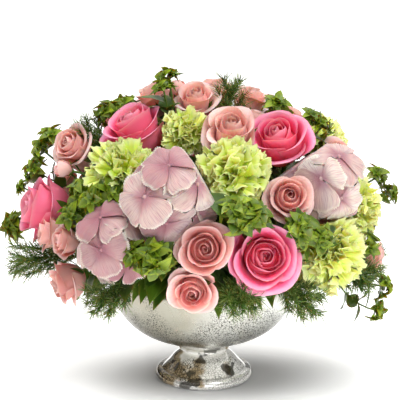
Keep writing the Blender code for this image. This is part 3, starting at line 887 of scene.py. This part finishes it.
def carnation_head(kind, bloom, seed):
    fans = set_out(FANS, CARNATION_FANS, seed, kind, spread=98.0, twist=120.0, wobble=13.0, change=0.08)
    fans.take(upright((-0.05, 0.12, 0.30, 0.42, 0.48), (0.20, 0.42, 0.44, 0.26, 0.05), sides=16, age=0.1))
    return fans.moved(lambda points: points + [0.0, 0.0, CARNATION_MOUTH])


print("fans in a carnation:", CARNATION_FANS)


# %% [markdown]
# ## Hydrangea
# What look like hydrangea petals are sepals, four to a floret: broad, nearly square, toothed along
# the outer edge, and each a little over the next.  A head holds a handful of these large florets
# over a dome, each on its own thin stalk and each turned its own way.  Every next floret sits a
# little lower than the last, so they overlap like tiles and don't cut through each other.

# %% The floret of a hydrangea
FLORET_RADIUS = 0.0240
FULL_HEAD, FULL_COUNT = 0.050, 10.5     # the radius of a full head, and its florets


def sepal(draw, quarter):
    """One sepal in metres, lying out along +X of the floret and then turned by quarters."""
    length = FLORET_RADIUS * draw.uniform(0.92, 1.06)
    cup = draw.uniform(-0.16, 0.16)
    droop = draw.uniform(0.40, 0.58)
    phase = draw.uniform(0, math.tau, 2)
    turn = quarter * math.pi / 2.0 + draw.uniform(-0.12, 0.12)
    lift = 0.0009 * (quarter % 2)

    def shape(u, v):
        saw = 2.0 * np.abs((7.5 * (u + 1.0)) % 1.0 - 0.5)
        side_saw = 2.0 * np.abs((4.0 * v) % 1.0 - 0.5)
        width = 0.60 * np.sin(math.pi * (0.02 + 0.66 * v ** 1.1)) ** 0.9
        width = width * (1.0 + 0.06 * side_saw * v * np.abs(u) ** 8)
        teeth = 1.0 + 0.055 * v ** 9 * saw + 0.04 * np.sin(5.0 * u + phase[0]) * v ** 4
        out = (0.04 + 0.96 * v * (1.0 - 0.22 * u * u * v * v)) * teeth
        side = width * u
        rise = cup * (side ** 2) * 1.4 + 0.16 * np.sin(math.pi * v) * cup - droop * v ** 2 * 0.5
        rise = rise + 0.055 * v ** 2 * np.sin(3.4 * u + phase[0])
        rise = rise + 0.030 * v ** 3 * np.sin(8.0 * u + phase[1])
        rise = rise - 0.05 * np.exp(-(u / 0.14) ** 2) * v * (1 - 0.7 * v)
        x = length * (out * math.cos(turn) - side * math.sin(turn))
        y = length * (out * math.sin(turn) + side * math.cos(turn))
        return x, y, length * rise + lift

    # From right to left, because that turns the face of the sepal up.
    return sheet(lambda u, v: shape(-u, v), 30, 5, 0.0005, draw.uniform(0.3, 1.0))


@gathered
def floret(draw):
    for quarter in range(4):
        yield sepal(draw, quarter)
    eye = upright((-0.0010, 0.0004, 0.0013, 0.0018), (0.0012, 0.0017, 0.0013, 0.0005), sides=8, age=0.35)
    stalk = upright((-0.014, -0.007, 0.0), 0.0006, sides=5, age=0.3)
    for part in (eye, stalk):
        part.sheet[0][:, :2] = 0.3
        yield part


florets_drawn = np.random.default_rng(31)
FLORETS = tray("hydrangea floret", [floret(florets_drawn) for _ in range(6)])


def hydrangea_head(kind, bloom, seed):
    count = round(FULL_COUNT * (bloom.radius / FULL_HEAD) ** 2)
    dome = set_out(FLORETS, count, seed, kind, spread=74.0, radius=0.90 * bloom.radius, layers=0.0022,
                   twist=60.0, wobble=3.0, change=0.06)
    return dome.moved(lambda points: points / bloom.radius)


print("floret across, mm:", round(2000 * FLORET_RADIUS))


# %% [markdown]
# ## Greens: stars, leaves and needles
# Bupleurum carries its tiny flowers in leafy stars of five pointed bracts, several to a stem, on
# rays that spread from one point.  Ferns of the asparagus kind have no leaves to speak of: their
# fine needles stand in tufts all along thin branches.  A star goes on the dome tree, because its
# rays spread as an umbel; needles follow a branch, so they get a tree of their own.

# %% A leaf, and the star of bracts
def leaf(start, along, up, length, width, draw, age, fold, droop, cells):
    """A pointed leaf from a point, in a direction, with its upper face to one side."""
    along = unit(np.asarray(along, float))
    across = unit(np.cross(up, along))
    normal = np.cross(along, across)
    phase = draw.uniform(0, math.tau)

    def shape(u, v):
        half = 0.5 * width * np.sin(math.pi * v ** 0.75) ** 0.85 + 0.02 * width * (1 - v)
        side = u * half
        lift = fold * np.abs(side) - droop * length * v ** 2 + 0.03 * length * np.sin(4 * v + phase) * u
        place = start + v[..., None] * length * along + side[..., None] * across + lift[..., None] * normal
        return place[..., 0], place[..., 1], place[..., 2]

    return sheet(shape, *cells, 0.022 * length, age, draw.uniform(0, 1))


@gathered
def bract_star(draw):
    """Bracts in two rings and a spiky knot of tiny flowers, on the end of a ray."""
    top = np.array([0.0, 0.0, 0.62])
    bend = draw.uniform(-0.06, 0.06, 2)
    middle = np.array([bend[0], bend[1], 0.3])
    yield tube(along_route(Route(np.zeros(3), middle, top), np.linspace(0, 1, 3)), 0.028, sides=4, age=0.6)
    for size, rise, shift in ((0.86, 0.15, 0.0), (0.52, 0.9, 0.6)):
        for count in range(5):
            angle = count * math.tau / 5 + shift + draw.uniform(-0.2, 0.2)
            out = around(angle, rise + draw.uniform(-0.3, 0.3))
            length = size * draw.uniform(0.75, 1.2)
            yield leaf(top, out, [0, 0, 1.0], length, 0.56 * length, draw, age=draw.uniform(0, 1),
                       fold=0.5, droop=0.2, cells=(2, 4))
    for count in range(9):
        angle = count * GOLDEN_ANGLE
        out = 0.065 * math.sqrt(count) * around(angle, 0.0)
        foot, tip = top + out, top + 2.4 * out + [0, 0, draw.uniform(0.12, 0.26)]
        yield tube([foot, 0.5 * (foot + tip), tip], [0.020, 0.046, 0.006], sides=3, age=1.0, tone=0.8)


stars_drawn = np.random.default_rng(41)
STARS = tray("bract star", [bract_star(stars_drawn) for _ in range(4)])


SMALL_UMBEL = 0.0105         # up to this radius an umbel has only four stars


def bupleurum_head(kind, bloom, seed):
    """An umbel of stars, in head radii."""
    count = 6 if bloom.radius > SMALL_UMBEL else 4
    umbel = set_out(STARS, count, seed, kind, spread=75.0, twist=50.0, wobble=16.0, change=0.2)
    return umbel.moved(lambda points: points * 1.1 + [0.0, 0.0, -0.65])


# %% The branch tree: tufts of needles along thin stems
def branch_tree():
    graph, want = geometry_graph("tufts along a branch", [("Geometry", "Geometry"), ("Spacing", "Float")])
    curve = graph.node("GeometryNodeMeshToCurve", None, {0: want["Geometry"]})
    inputs = {"Curve": curve, "Length": want["Spacing"]}
    points = graph.node("GeometryNodeCurveToPoints", {"mode": "LENGTH"}, inputs)
    return planted(graph, want, points, points.other("Rotation"))


BRANCH = branch_tree()


@gathered
def needle_tuft(draw, needles=5, length=0.0115):
    """Needles that lean forward round a branch, whose way on is +Z."""
    for count in range(needles):
        angle = count * math.tau / needles + draw.uniform(-0.3, 0.3)
        lean = draw.uniform(0.55, 1.05)
        reach = length * draw.uniform(0.75, 1.15)
        out = around(angle, math.cos(lean), math.sin(lean))
        yield tube([[0, 0, 0], out * reach + [0, 0, 0.2 * reach]], [0.00050, 0.00008], sides=3,
                   age=draw.uniform(0, 1))


tufts_drawn = np.random.default_rng(51)
TUFTS = tray("needle tuft", [needle_tuft(tufts_drawn) for _ in range(5)])


def branch_lines(paths):
    """A mesh of edges only, one run for each path."""
    points, edges = [], []
    for path in paths:
        first = len(points)
        points += [tuple(place) for place in path]
        edges += [(first + step, first + step + 1) for step in range(len(path) - 1)]
    mesh = bpy.data.meshes.new("branch lines")
    mesh.from_pydata(points, edges, [])
    return mesh


def needled(paths, seed, spacing=0.0023):
    """Tufts along every path, and the thin stems themselves."""
    values = {"Items": TUFTS, "Spacing": spacing, "Twist": math.pi, "Wobble": 0.2, "Size Change": 0.2,
              "Seed": seed, "Finish": finish["fern"]}
    tufts = grown(BRANCH, values, branch_lines(paths))
    for path in paths:
        tufts.take(tube(path, 0.00035, sides=5, age=0.2))
    return tufts


# %% [markdown]
# ## Putting each stem together
# One piece is one cut stem: the stem itself, its side stems, every head on it and the green parts
# under each head.  The heads are grown in their own size and then set in place, turned to their
# face and pressed by their neighbours.  Leaves stand round the upper half of each stem and hide the
# foam, and the lowest stems add a collar of leaves that lies out over the rim of the bowl.
# No two bunches are alike, so one small table makes some flowers paler or deeper; part of it is painted light
# and shade, which makes flowers in shade paler and brightly lit ones deeper.  Another table turns a few
# hydrangea heads until their florets look outwards.

# %% The green part under the petals
@gathered
def calyx(kind, draw):
    """The green part right under the petals, in head radii."""
    if kind == "carnation":
        yield upright((-1.0, -0.90, -0.70, -0.50, -0.40), (0.08, 0.19, 0.21, 0.23, 0.20), sides=14, age=0.8)
    else:
        yield upright((-1.02, -0.96, -0.88, -0.80), (0.07, 0.17, 0.22, 0.16), sides=12, age=0.6)
    for count in range(5):
        angle = count * math.tau / 5
        if kind == "carnation":
            foot, out = around(angle, -0.47, 0.19), around(angle, 1.3)
            yield leaf(foot, out, [-out[0], -out[1], 0.8], 0.22, 0.16, draw, age=0.8, fold=0.2, droop=0.0,
                       cells=(4, 5))
        else:
            angle = angle + draw.uniform(-0.2, 0.2)
            foot, out = around(angle, -0.86, 0.17), around(angle, draw.uniform(0.1, 0.7))
            yield leaf(foot, out, [-out[0], -out[1], 1.0], 0.85, 0.22, draw, age=0.6, fold=0.2, droop=-0.3,
                       cells=(4, 7))


print("heaps in the green of a rose:", len(calyx("large_rose", np.random.default_rng(1)).faces))


# %% A head, set in its place
HEAD = {"large_rose": rose_head, "spray_rose": rose_head, "carnation": carnation_head,
        "hydrangea": hydrangea_head, "bupleurum": bupleurum_head}
# How much wider a head is set than its plain solid, by kind, and for a few flowers by number.
FULLER = {"large_rose": 1.10, "spray_rose": 1.12, "carnation": 1.18, "hydrangea": 1.18, "bupleurum": 1.30,
          ("hydrangea", 1): 1.30, ("hydrangea", 3): 1.34, ("spray_rose", 1): 1.30, ("spray_rose", 2): 1.34,
          ("spray_rose", 3): 1.34}
# The azimuth and elevation that the front hydrangea heads turn to.
TURNED = {("hydrangea", 1): (-8, 37), ("hydrangea", 2): (-15, 46), ("hydrangea", 3): (2, 42)}
# How much is added to the age of the petals: older petals are paler.  Some entries are a flower's own tone,
# others painted light and shade: flowers in shade are made paler, brightly lit ones deeper.
PALENESS_AND_PAINTED_LIGHT = {("carnation", 1): -0.15, ("carnation", 2): 0.10, ("carnation", 4): 0.60, ("carnation", 5): 0.60,
         ("carnation", 6): 0.35, ("spray_rose", 1): 0.90, ("spray_rose", 2): 1.00, ("spray_rose", 3): 1.00,
         ("spray_rose", 7): -0.10, ("spray_rose", 5): -0.35, ("hydrangea", 2): -0.30, ("hydrangea", 3): 0.20}


def head_in_place(kind, count, number, bloom, draw):
    """(petals, green) of one head, both set in the arrangement."""
    seed = 100 * count + 10 * number + len(kind)
    roll = draw.uniform(0, math.tau)
    face = direction(*TURNED[kind, count]) if (kind, count) in TURNED else face_of(bloom)
    full = FULLER.get((kind, count), FULLER[kind])
    place = setting(middle_of(bloom), face, bloom.radius * full, roll)
    petals = HEAD[kind](kind, bloom, seed)
    # Each flower's own tone, and painted light and shade, added to the petals' age.
    for facts in petals.petal:
        facts[:, 0] += PALENESS_AND_PAINTED_LIGHT.get((kind, count), 0.0)
    if kind != "bupleurum":
        owner = (kind, count, number)
        petals = petals.moved(lambda points: pressed(place(points), owner))
        return petals, calyx(kind, draw).moved(place) if kind != "hydrangea" else None
    return petals.moved(place), None


print("flowers with a paleness of their own:", len(PALENESS_AND_PAINTED_LIGHT))


# %% Leaves: on the stem, over the rim, and under a head of bupleurum
# How many there are, how long in metres, and how wide to their length.
LEAVES = {"large_rose": (7, 0.046, 0.55), "spray_rose": (6, 0.034, 0.55), "carnation": (5, 0.045, 0.22),
          "hydrangea": (7, 0.062, 0.60), "bupleurum": (4, 0.026, 0.60)}


@gathered
def foliage(kind, route, draw):
    """Leaves that stand round the upper half of a stem."""
    many, size, slim = LEAVES[kind]
    turn = draw.uniform(0, math.tau)
    for number in range(many):
        share = 0.42 + 0.40 * (number + draw.uniform(0, 1)) / many
        foot, ahead = along_route(route, share)[0], along_route(route, share + 0.02)[0]
        ahead = unit(ahead - foot)
        sideways = unit(np.cross(ahead, [0.0, 0.0, 1.0]))
        angle = turn + number * GOLDEN_ANGLE
        out = math.cos(angle) * sideways + math.sin(angle) * np.cross(sideways, ahead)
        length = size * draw.uniform(0.75, 1.15)
        yield leaf(foot, out + ahead * draw.uniform(0.5, 1.1), ahead, length, slim * length, draw,
                   age=draw.uniform(0, 1), fold=0.25, droop=draw.uniform(0.1, 0.5), cells=(4, 6))


COLLAR_SPAN = 48.0           # degrees round the bowl


@gathered
def collar(azimuth, draw, many=6):
    """Leaves at the foot of a low stem, which lie out over the rim of the bowl."""
    for number in range(many):
        aside = azimuth + COLLAR_SPAN * (number - 0.5 * (many - 1)) / many + draw.uniform(-5, 5)
        foot = foam_point(aside, draw.uniform(LOWEST_ENTRY, LOWEST_ENTRY + 7.0)) + [0.0, 0.0, 0.001]
        away = direction(aside + draw.uniform(-30, 30), draw.uniform(-12, 2))
        length = draw.uniform(0.046, 0.064)
        yield leaf(foot, away, [0.0, 0.0, 1.0], length, 0.42 * length, draw, age=draw.uniform(0, 1), fold=0.3,
                   droop=draw.uniform(0.25, 0.55), cells=(4, 7))


@gathered
def leaves_below(bloom, draw):
    """Rounded leaves that clasp the stem under a head of bupleurum."""
    face = face_of(bloom)
    foot = middle_of(bloom) - face * bloom.radius * 0.9
    place = setting(foot, face, 1.0, draw.uniform(0, math.tau))
    for count in range(5):
        angle = count * GOLDEN_ANGLE + draw.uniform(-0.3, 0.3)
        out = around(angle, draw.uniform(0.0, 0.8))
        length = bloom.radius * draw.uniform(1.5, 2.3)
        one = leaf(np.zeros(3), out, [0, 0, 1.0], length, 0.62 * length, draw, age=draw.uniform(0, 1),
                   fold=0.2, droop=0.2, cells=(4, 6))
        yield one.moved(place)


print("leaves on a stem:", {kind: many for kind, (many, _, _) in LEAVES.items()})


# %% Every cut stem in turn
GREEN = 1                    # the second finish of every stem
LOW_STEM = 30.0              # degrees: a stem below this has a collar of leaves
FORK, SIDE_STEM = 0.45, 0.8  # where a spray divides, and how thick its side stems are to the main one


def grown_stem(kind, count, blooms):
    """Everything on one cut stem."""
    draw = np.random.default_rng(1000 * len(kind) + count)
    piece = Heap()
    first = blooms[0]
    main = route_to(entry_point(first.azimuth, first.elevation), base_of(kind, first), face_of(first))
    thick, shares = STEM[kind], np.linspace(0, 1, 9)
    piece.take(tube(rooted(main, along_route(main, shares)), thick, sides=9), GREEN)
    piece.take(foliage(kind, main, draw), GREEN)
    if first.elevation < LOW_STEM and kind != "bupleurum":
        piece.take(collar(first.azimuth, draw), GREEN)
    fork = along_route(main, FORK)[0]
    for number, bloom in enumerate(blooms):
        if number:
            side_route = route_to(fork, base_of(kind, bloom), face_of(bloom))
            piece.take(tube(along_route(side_route, shares), thick * SIDE_STEM, sides=8), GREEN)
            if kind == "bupleurum":
                piece.take(foliage(kind, side_route, draw), GREEN)
        petals, green = head_in_place(kind, count, number, bloom, draw)
        piece.take(petals)
        if green:
            piece.take(green, GREEN)
        if kind == "bupleurum":
            piece.take(leaves_below(bloom, draw), GREEN)
    return piece


def dressed(name, heap, node, slot, finishes):
    """The finished piece: it rides on the arrangement and stands for its plain solid."""
    piece = bpy.data.objects.new(name, mesh_of(name, heap, finishes))
    bpy.context.collection.objects.link(piece)
    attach(piece, BODY)
    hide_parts(node)
    return piece


made_faces = {}
for kind, stems in FLOWERS.items():
    for count, blooms in enumerate(stems, start=1):
        node = f"{kind}_{count}"
        heap = grown_stem(kind, count, blooms)
        dressed(f"fresh_{node}", heap, node, kind, [finish[kind], finish["leaf"]])
        made_faces[kind] = made_faces.get(kind, 0) + sum(len(part) for part in heap.faces)
print("triangles by kind:", made_faces)


# %% [markdown]
# ## Ferns
# Each plume has a main stem, and side branches that go round it by the golden angle and lean
# forward, longest in the middle.  The needles are set out along all of them.

# %% The plumes
NEEDLE_ROOM = 0.008          # the branch ends this far inside the tip of its needles


def plume_paths(frond, draw, bare=0.42, stations=16, spread=1.9):
    """The route of a plume's main stem, its points, and the paths of its side branches."""
    end = HEART + direction(frond.azimuth, frond.elevation) * (frond.reach - NEEDLE_ROOM)
    arrival = direction(frond.azimuth, frond.elevation - frond.droop)
    route = route_to(entry_point(frond.azimuth, frond.elevation), end, arrival)
    main = along_route(route, np.linspace(0, 1, 14))
    paths = []
    for station in range(stations):
        share = bare + (1.0 - bare) * (station + 0.5) / stations
        place = along_route(route, share)[0]
        ahead = unit(along_route(route, min(share + 0.02, 1.0))[0] - along_route(route, share - 0.02)[0])
        sideways = unit(np.cross(ahead, [0.0, 0.0, 1.0]))
        upward = np.cross(sideways, ahead)
        angle = station * GOLDEN_ANGLE + draw.uniform(-0.3, 0.3)
        out = math.cos(angle) * sideways + math.sin(angle) * upward * 0.8
        within = (share - bare) / (1.0 - bare)
        length = spread * frond.radius * (0.35 + 0.75 * math.sin(math.pi * within ** 0.8) ** 0.6)
        lean = unit(out + ahead * 0.9)
        tip = place + lean * length * 0.6
        paths.append([place, tip, tip + unit(out * 0.5 + ahead) * length * 0.45])
    return route, main, paths


for count, frond in enumerate(FRONDS, start=1):
    draw = np.random.default_rng(500 + count)
    route, main, paths = plume_paths(frond, draw)
    plume = Heap()
    plume.take(needled(paths + [main[6:]], 60 + count))
    stem = rooted(route, main)
    plume.take(tube(stem, np.linspace(0.0012, 0.0004, len(stem)), sides=6, age=0.4), GREEN)
    dressed(f"fresh_fern_{count}", plume, f"fern_{count}", "fern", [finish["fern"], finish["leaf"]])
    print("fern", count, "triangles:", sum(len(part) for part in plume.faces))


# %% [markdown]
# ## The silvered bowl
# Mercury glass is clear glass with a thin coat of silver inside.  The coat is uneven on purpose: it is crazed
# with dark specks, thin enough in places to look bronze, and the glass over it keeps a clean gloss.  The
# finish also paints light into the silver: it is lighter towards +x, the foot is near white as a painted
# bright reflection over its own polish, and near-black patches on the foot are painted dark reflections.  The
# bowl is turned like the real one, from one outline, finer than the plain one.

# %% The outline of the bowl
BOWL_DEPTH, FULLNESS, WALL, FLOOR = 0.0725, 2.35, 0.0035, 0.006
NECK_END = 0.0290            # the bowl's own line starts outside this radius


def bowl_line(width, depth, steps):
    line = []
    for step in range(steps):
        down = depth * math.sin(0.5 * math.pi * step / steps)
        share = min(down / depth, 1.0)
        line.append((width * (1.0 - share ** FULLNESS) ** (1.0 / FULLNESS), RIM_HEIGHT - down))
    return line


def eased(points, steps=5):
    """A smooth line through (radius, height) points."""
    points = np.array(points, float)
    before = np.concatenate([points[:1], points[:-1]])
    after = np.concatenate([points[1:], points[-1:]])
    slope = 0.5 * (after - before)
    line = []
    for a, b, sa, sb in zip(points[:-1], points[1:], slope[:-1], slope[1:]):
        for step in range(steps):
            t = step / steps
            line.append(tuple((2 * t ** 3 - 3 * t ** 2 + 1) * a + (t ** 3 - 2 * t ** 2 + t) * sa
                              + (3 * t ** 2 - 2 * t ** 3) * b + (t ** 3 - t ** 2) * sb))
    return line + [tuple(points[-1])]


def turned_piece(outline, sides):
    """A closed solid of revolution; the outline starts and ends on the axis."""
    inner = np.array(outline[1:-1])
    angle = np.arange(sides) * math.tau / sides
    rings = np.stack([np.outer(inner[:, 0], np.cos(angle)), np.outer(inner[:, 0], np.sin(angle)),
                      np.repeat(inner[:, 1:2], sides, axis=1)], axis=-1).reshape(-1, 3)
    ends = np.array([[0, 0, outline[0][1]], [0, 0, outline[-1][1]]])
    points = np.concatenate([rings, ends])
    blank = np.zeros((len(points), 3))
    return Heap(points, ring_faces(len(inner), sides), blank, blank)


FOOT_LINE = [(0.0450, 0.0), (0.0500, 0.0009), (0.0524, 0.0032), (0.0530, 0.0060), (0.0516, 0.0098),
             (0.0490, 0.0119), (0.0458, 0.0121), (0.0444, 0.0134), (0.0390, 0.0190), (0.0330, 0.0256),
             (0.0262, 0.0312), (0.0250, 0.0326), (0.0272, 0.0336), (0.0274, 0.0352), (0.0262, 0.0366),
             (0.0238, 0.0376), (0.0236, 0.0392), (0.0262, 0.0404)]
outside = bowl_line(RIM_RADIUS, BOWL_DEPTH, 40)[::-1]
inside = bowl_line(RIM_RADIUS - WALL, BOWL_DEPTH - FLOOR, 16)
lip = [(RIM_RADIUS - 0.0003, RIM_HEIGHT + 0.0009), (RIM_RADIUS - 0.0012, RIM_HEIGHT + 0.0016),
       (RIM_RADIUS - 0.0023, RIM_HEIGHT + 0.0016), (RIM_RADIUS - 0.0032, RIM_HEIGHT + 0.0009)]
outside = [place for place in outside if place[0] > NECK_END]
floor_height = RIM_HEIGHT - BOWL_DEPTH + FLOOR
bowl_outline = [(0.0, 0.0), *eased(FOOT_LINE), *outside, *lip, *inside, (0.0, floor_height)]
print("points in the bowl's outline:", len(bowl_outline))


# %% The mercury finish
def mercury_finish():
    made, graph, shader = blank_finish("mercury glass")
    place = graph.here()
    x, y, z = graph.parts(place)
    mirrored = graph.vector(0.0 - x, y, z)      # the same patches, but from right to left
    cloud, broad = graph.noise(place, 26.0, 5.0), graph.noise(place, 11.0, 3.0)
    foot = 1.0 - graph.rise(z, 0.034, 0.044)
    girdle = graph.rise(z, 0.042, 0.060) * (1.0 - graph.rise(z, 0.076, 0.104))
    where = graph.rise(cloud * 0.6 + broad * 0.5 + girdle * 0.10 + foot * 0.03, 0.50, 0.64)
    specks = (1.0 - graph.rise(graph.cells(place, 430.0), 0.20, 0.38)) * where * (1.0 - foot)
    crazing = (1.0 - graph.rise(graph.cells(place, 380.0, edges=True), 0.02, 0.10)) * where
    patch = graph.rise(graph.noise(mirrored, 22.0, 3.0), 0.50, 0.58)
    net = (1.0 - graph.rise(graph.cells(place, 300.0, edges=True), 0.03, 0.10)) * patch * foot
    tarnish = graph.rise(graph.noise(mirrored, 30.0, 5.0), 0.50, 0.60)
    # Painted dark reflections: near-black patches on the foot.
    painted_dark_reflection = graph.rise(graph.noise(mirrored, 52.0, 2.0), 0.58, 0.63) * foot
    dark = graph.maths("MAXIMUM", graph.maths("MAXIMUM", specks, crazing * 0.7), net)
    # Painted light: the silver is lighter towards +x, mixed with the real unevenness of the coat.
    coat_and_painted_light = graph.rise(broad * 0.5 + x * 3.0, 0.05, 0.50)
    silver = graph.mix(coat_and_painted_light, srgb(160, 157, 142), srgb(218, 218, 212))
    # The foot's near-white silver is partly its own polish and partly a painted bright reflection.
    for share, colour in ((foot * 0.9, (252, 251, 246)), (tarnish * (foot * 0.75 + 0.10), (150, 122, 66)),
                          (painted_dark_reflection * 0.85, (40, 36, 26)), (dark, (40, 38, 26))):
        silver = graph.mix(share, silver, srgb(*colour))
    graph.fill(shader, {"Base Color": silver, "Metallic": 0.92 - 0.35 * foot,
                        "Roughness": 0.20 + 0.18 * cloud + 0.3 * specks - 0.16 * foot,
                        "Coat Weight": 0.6, "Coat Roughness": 0.04,
                        "Normal": graph.bump(graph.noise(place, 60.0, 2.0), strength=0.12, distance=0.002)})
    return made


bowl = dressed("silvered_bowl", turned_piece(bowl_outline, 120), "glass_bowl", "silvered_glass",
               [mercury_finish()])
print("bowl triangles:", len(bowl.data.polygons))


# %% [markdown]
# ## Foam and tape
# The wet foam is a dense sponge of tiny open cells, dark green and matt.  The tape over it is
# woven, with a low sheen.  Both hide under the flowers, but show where there is a gap.

# %% Finishes for the foam and the tape
def plain_finish(name, dark, light, scale, roughness, relief):
    made, graph, shader = blank_finish(name)
    grain = graph.noise(graph.here(), scale, 4.0)
    colour = graph.mix(graph.rise(grain, 0.35, 0.65), dark, light)
    graph.fill(shader, {"Base Color": colour, "Roughness": roughness,
                        "Normal": graph.bump(grain, relief, distance=0.001)})
    return made


foam_finish = plain_finish("wet foam", srgb(10, 40, 20), srgb(30, 84, 44), 900.0, 0.9, 0.8)
tape_finish = plain_finish("woven tape", srgb(20, 60, 28), srgb(44, 96, 50), 1500.0, 0.5, 0.4)
for node, material in (("floral_foam", foam_finish), ("anchor_tape", tape_finish)):
    thing = bpy.data.objects[node]
    for slot in thing.material_slots:
        slot.material = material
    print(node, "wears", material.name)


# %% [markdown]
# ## Table, light and camera
# The light is that of a bright studio.  A large soft lamp high at the front right models the
# petals, one overhead lights the tops, and a weak one behind parts the flowers from the backdrop.
# The flowers shade the foot of the bowl, so a narrow spot slips in under them and lights the glass.
# The surround is bright above and dim at the sides, which gives the silver something dark to mirror.  The
# floor has a soft glow of its own away from the bowl, so it fades into white, and a painted shadow: close
# round the foot its colour is darker and it has no glow.
# The camera stands back and looks slightly down, with a long lens that keeps the dome round.

# %% The floor, the lamps and the surround
FLOOR_GLOW = 0.62
SHADOW_ASIDE, SHADOW_STRETCH = 0.022, 1.6   # the painted shadow: a darker ellipse under the foot


def grey(level):
    return (level, level, level, 1.0)


def stage_floor():
    made, graph, shader = blank_finish("pale floor")
    x, y, _ = graph.parts(graph.here())
    # Painted shadow: in an ellipse round the foot the floor's colour is darker and it has no glow.
    beside = (x - SHADOW_ASIDE) / SHADOW_STRETCH
    away = graph.rise(graph.maths("SQRT", beside * beside + y * y), 0.03, 0.13)
    graph.fill(shader, {"Base Color": graph.mix(away, (0.48, 0.48, 0.49, 1.0), grey(0.93)),
                        "Roughness": 0.9, "Specular IOR Level": 0.1,
                        "Emission Color": graph.mix(away, grey(0.0), grey(FLOOR_GLOW)),
                        "Emission Strength": 1.0})
    mesh = bpy.data.meshes.new("floor")
    mesh.from_pydata([(-8, -8, 0), (8, -8, 0), (8, 8, 0), (-8, 8, 0)], [], [(0, 1, 2, 3)])
    mesh.materials.append(made)
    floor = bpy.data.objects.new("floor", mesh)
    bpy.context.collection.objects.link(floor)


def lamp(name, place, aim, size, watts, kind="AREA"):
    """A round soft lamp, or a spot of the same size."""
    light = bpy.data.lights.new(name, kind)
    light.energy = watts
    if kind == "AREA":
        light.shape, light.size = "DISK", size
    else:
        light.shadow_soft_size = 0.5 * size
    holder = bpy.data.objects.new(name, light)
    holder.location = place
    holder.rotation_mode = "QUATERNION"
    holder.rotation_quaternion = (Vector(aim) - Vector(place)).to_track_quat("-Z", "Y")
    bpy.context.collection.objects.link(holder)
    return light


stage_floor()
lamp("key", (0.9, -1.4, 1.6), (0, 0, 0.15), size=0.9, watts=19.0)
lamp("top", (-0.2, -0.1, 1.8), (0, 0, 0.0), size=0.6, watts=12.0)
spot = lamp("foot spot", (0.3, -1.6, 0.18), (0, 0, 0.006), size=0.3, watts=460.0, kind="SPOT")
spot.spot_size, spot.spot_blend = math.radians(4.4), 0.5
lamp("back", (0.3, 1.6, 1.4), (0, 0, 0.15), size=1.2, watts=4.0)

scene = bpy.context.scene
world = bpy.data.worlds.new("studio")
scene.world = world
world.use_nodes = True
studio = Graph(world.node_tree)
aside, _, height = studio.parts(studio.node("ShaderNodeTexCoord", None, None, "Generated"))
wings = studio.rise(studio.maths("ABSOLUTE", aside - 0.2), 0.15, 0.75)
low_walls = studio.mix(wings, (0.44, 0.435, 0.42, 1.0), (0.05, 0.045, 0.035, 1.0))
walls = studio.mix(studio.rise(height, 0.20, 0.80), low_walls, grey(0.92))
seen = studio.node("ShaderNodeLightPath", None, None, "Is Camera Ray")
backdrop = studio.mix(seen, walls, grey(1.0))
world.node_tree.links.new(backdrop.socket, world.node_tree.nodes["Background"].inputs["Color"])
scene.view_settings.view_transform = "Standard"

# %% The camera
CAMERA_AIM = Vector((-0.0043, 0.0, 0.198))
CAMERA_LIFT, CAMERA_DISTANCE = math.radians(13.0), 1.7
lens = bpy.data.cameras.new("camera")
lens.sensor_width, lens.lens = 36.0, 143.0      # millimetres
camera = bpy.data.objects.new("camera", lens)
back = Vector((0.0, -math.cos(CAMERA_LIFT), math.sin(CAMERA_LIFT)))
camera.location = CAMERA_AIM + back * CAMERA_DISTANCE
camera.rotation_mode = "QUATERNION"
camera.rotation_quaternion = (-back).to_track_quat("-Z", "Y")
bpy.context.collection.objects.link(camera)
scene.camera = camera

# %% The trays are put away, and the end
for made in TRAYS:
    for thing in list(made.objects):
        mesh = thing.data
        bpy.data.objects.remove(thing)
        bpy.data.meshes.remove(mesh)
    bpy.data.collections.remove(made)
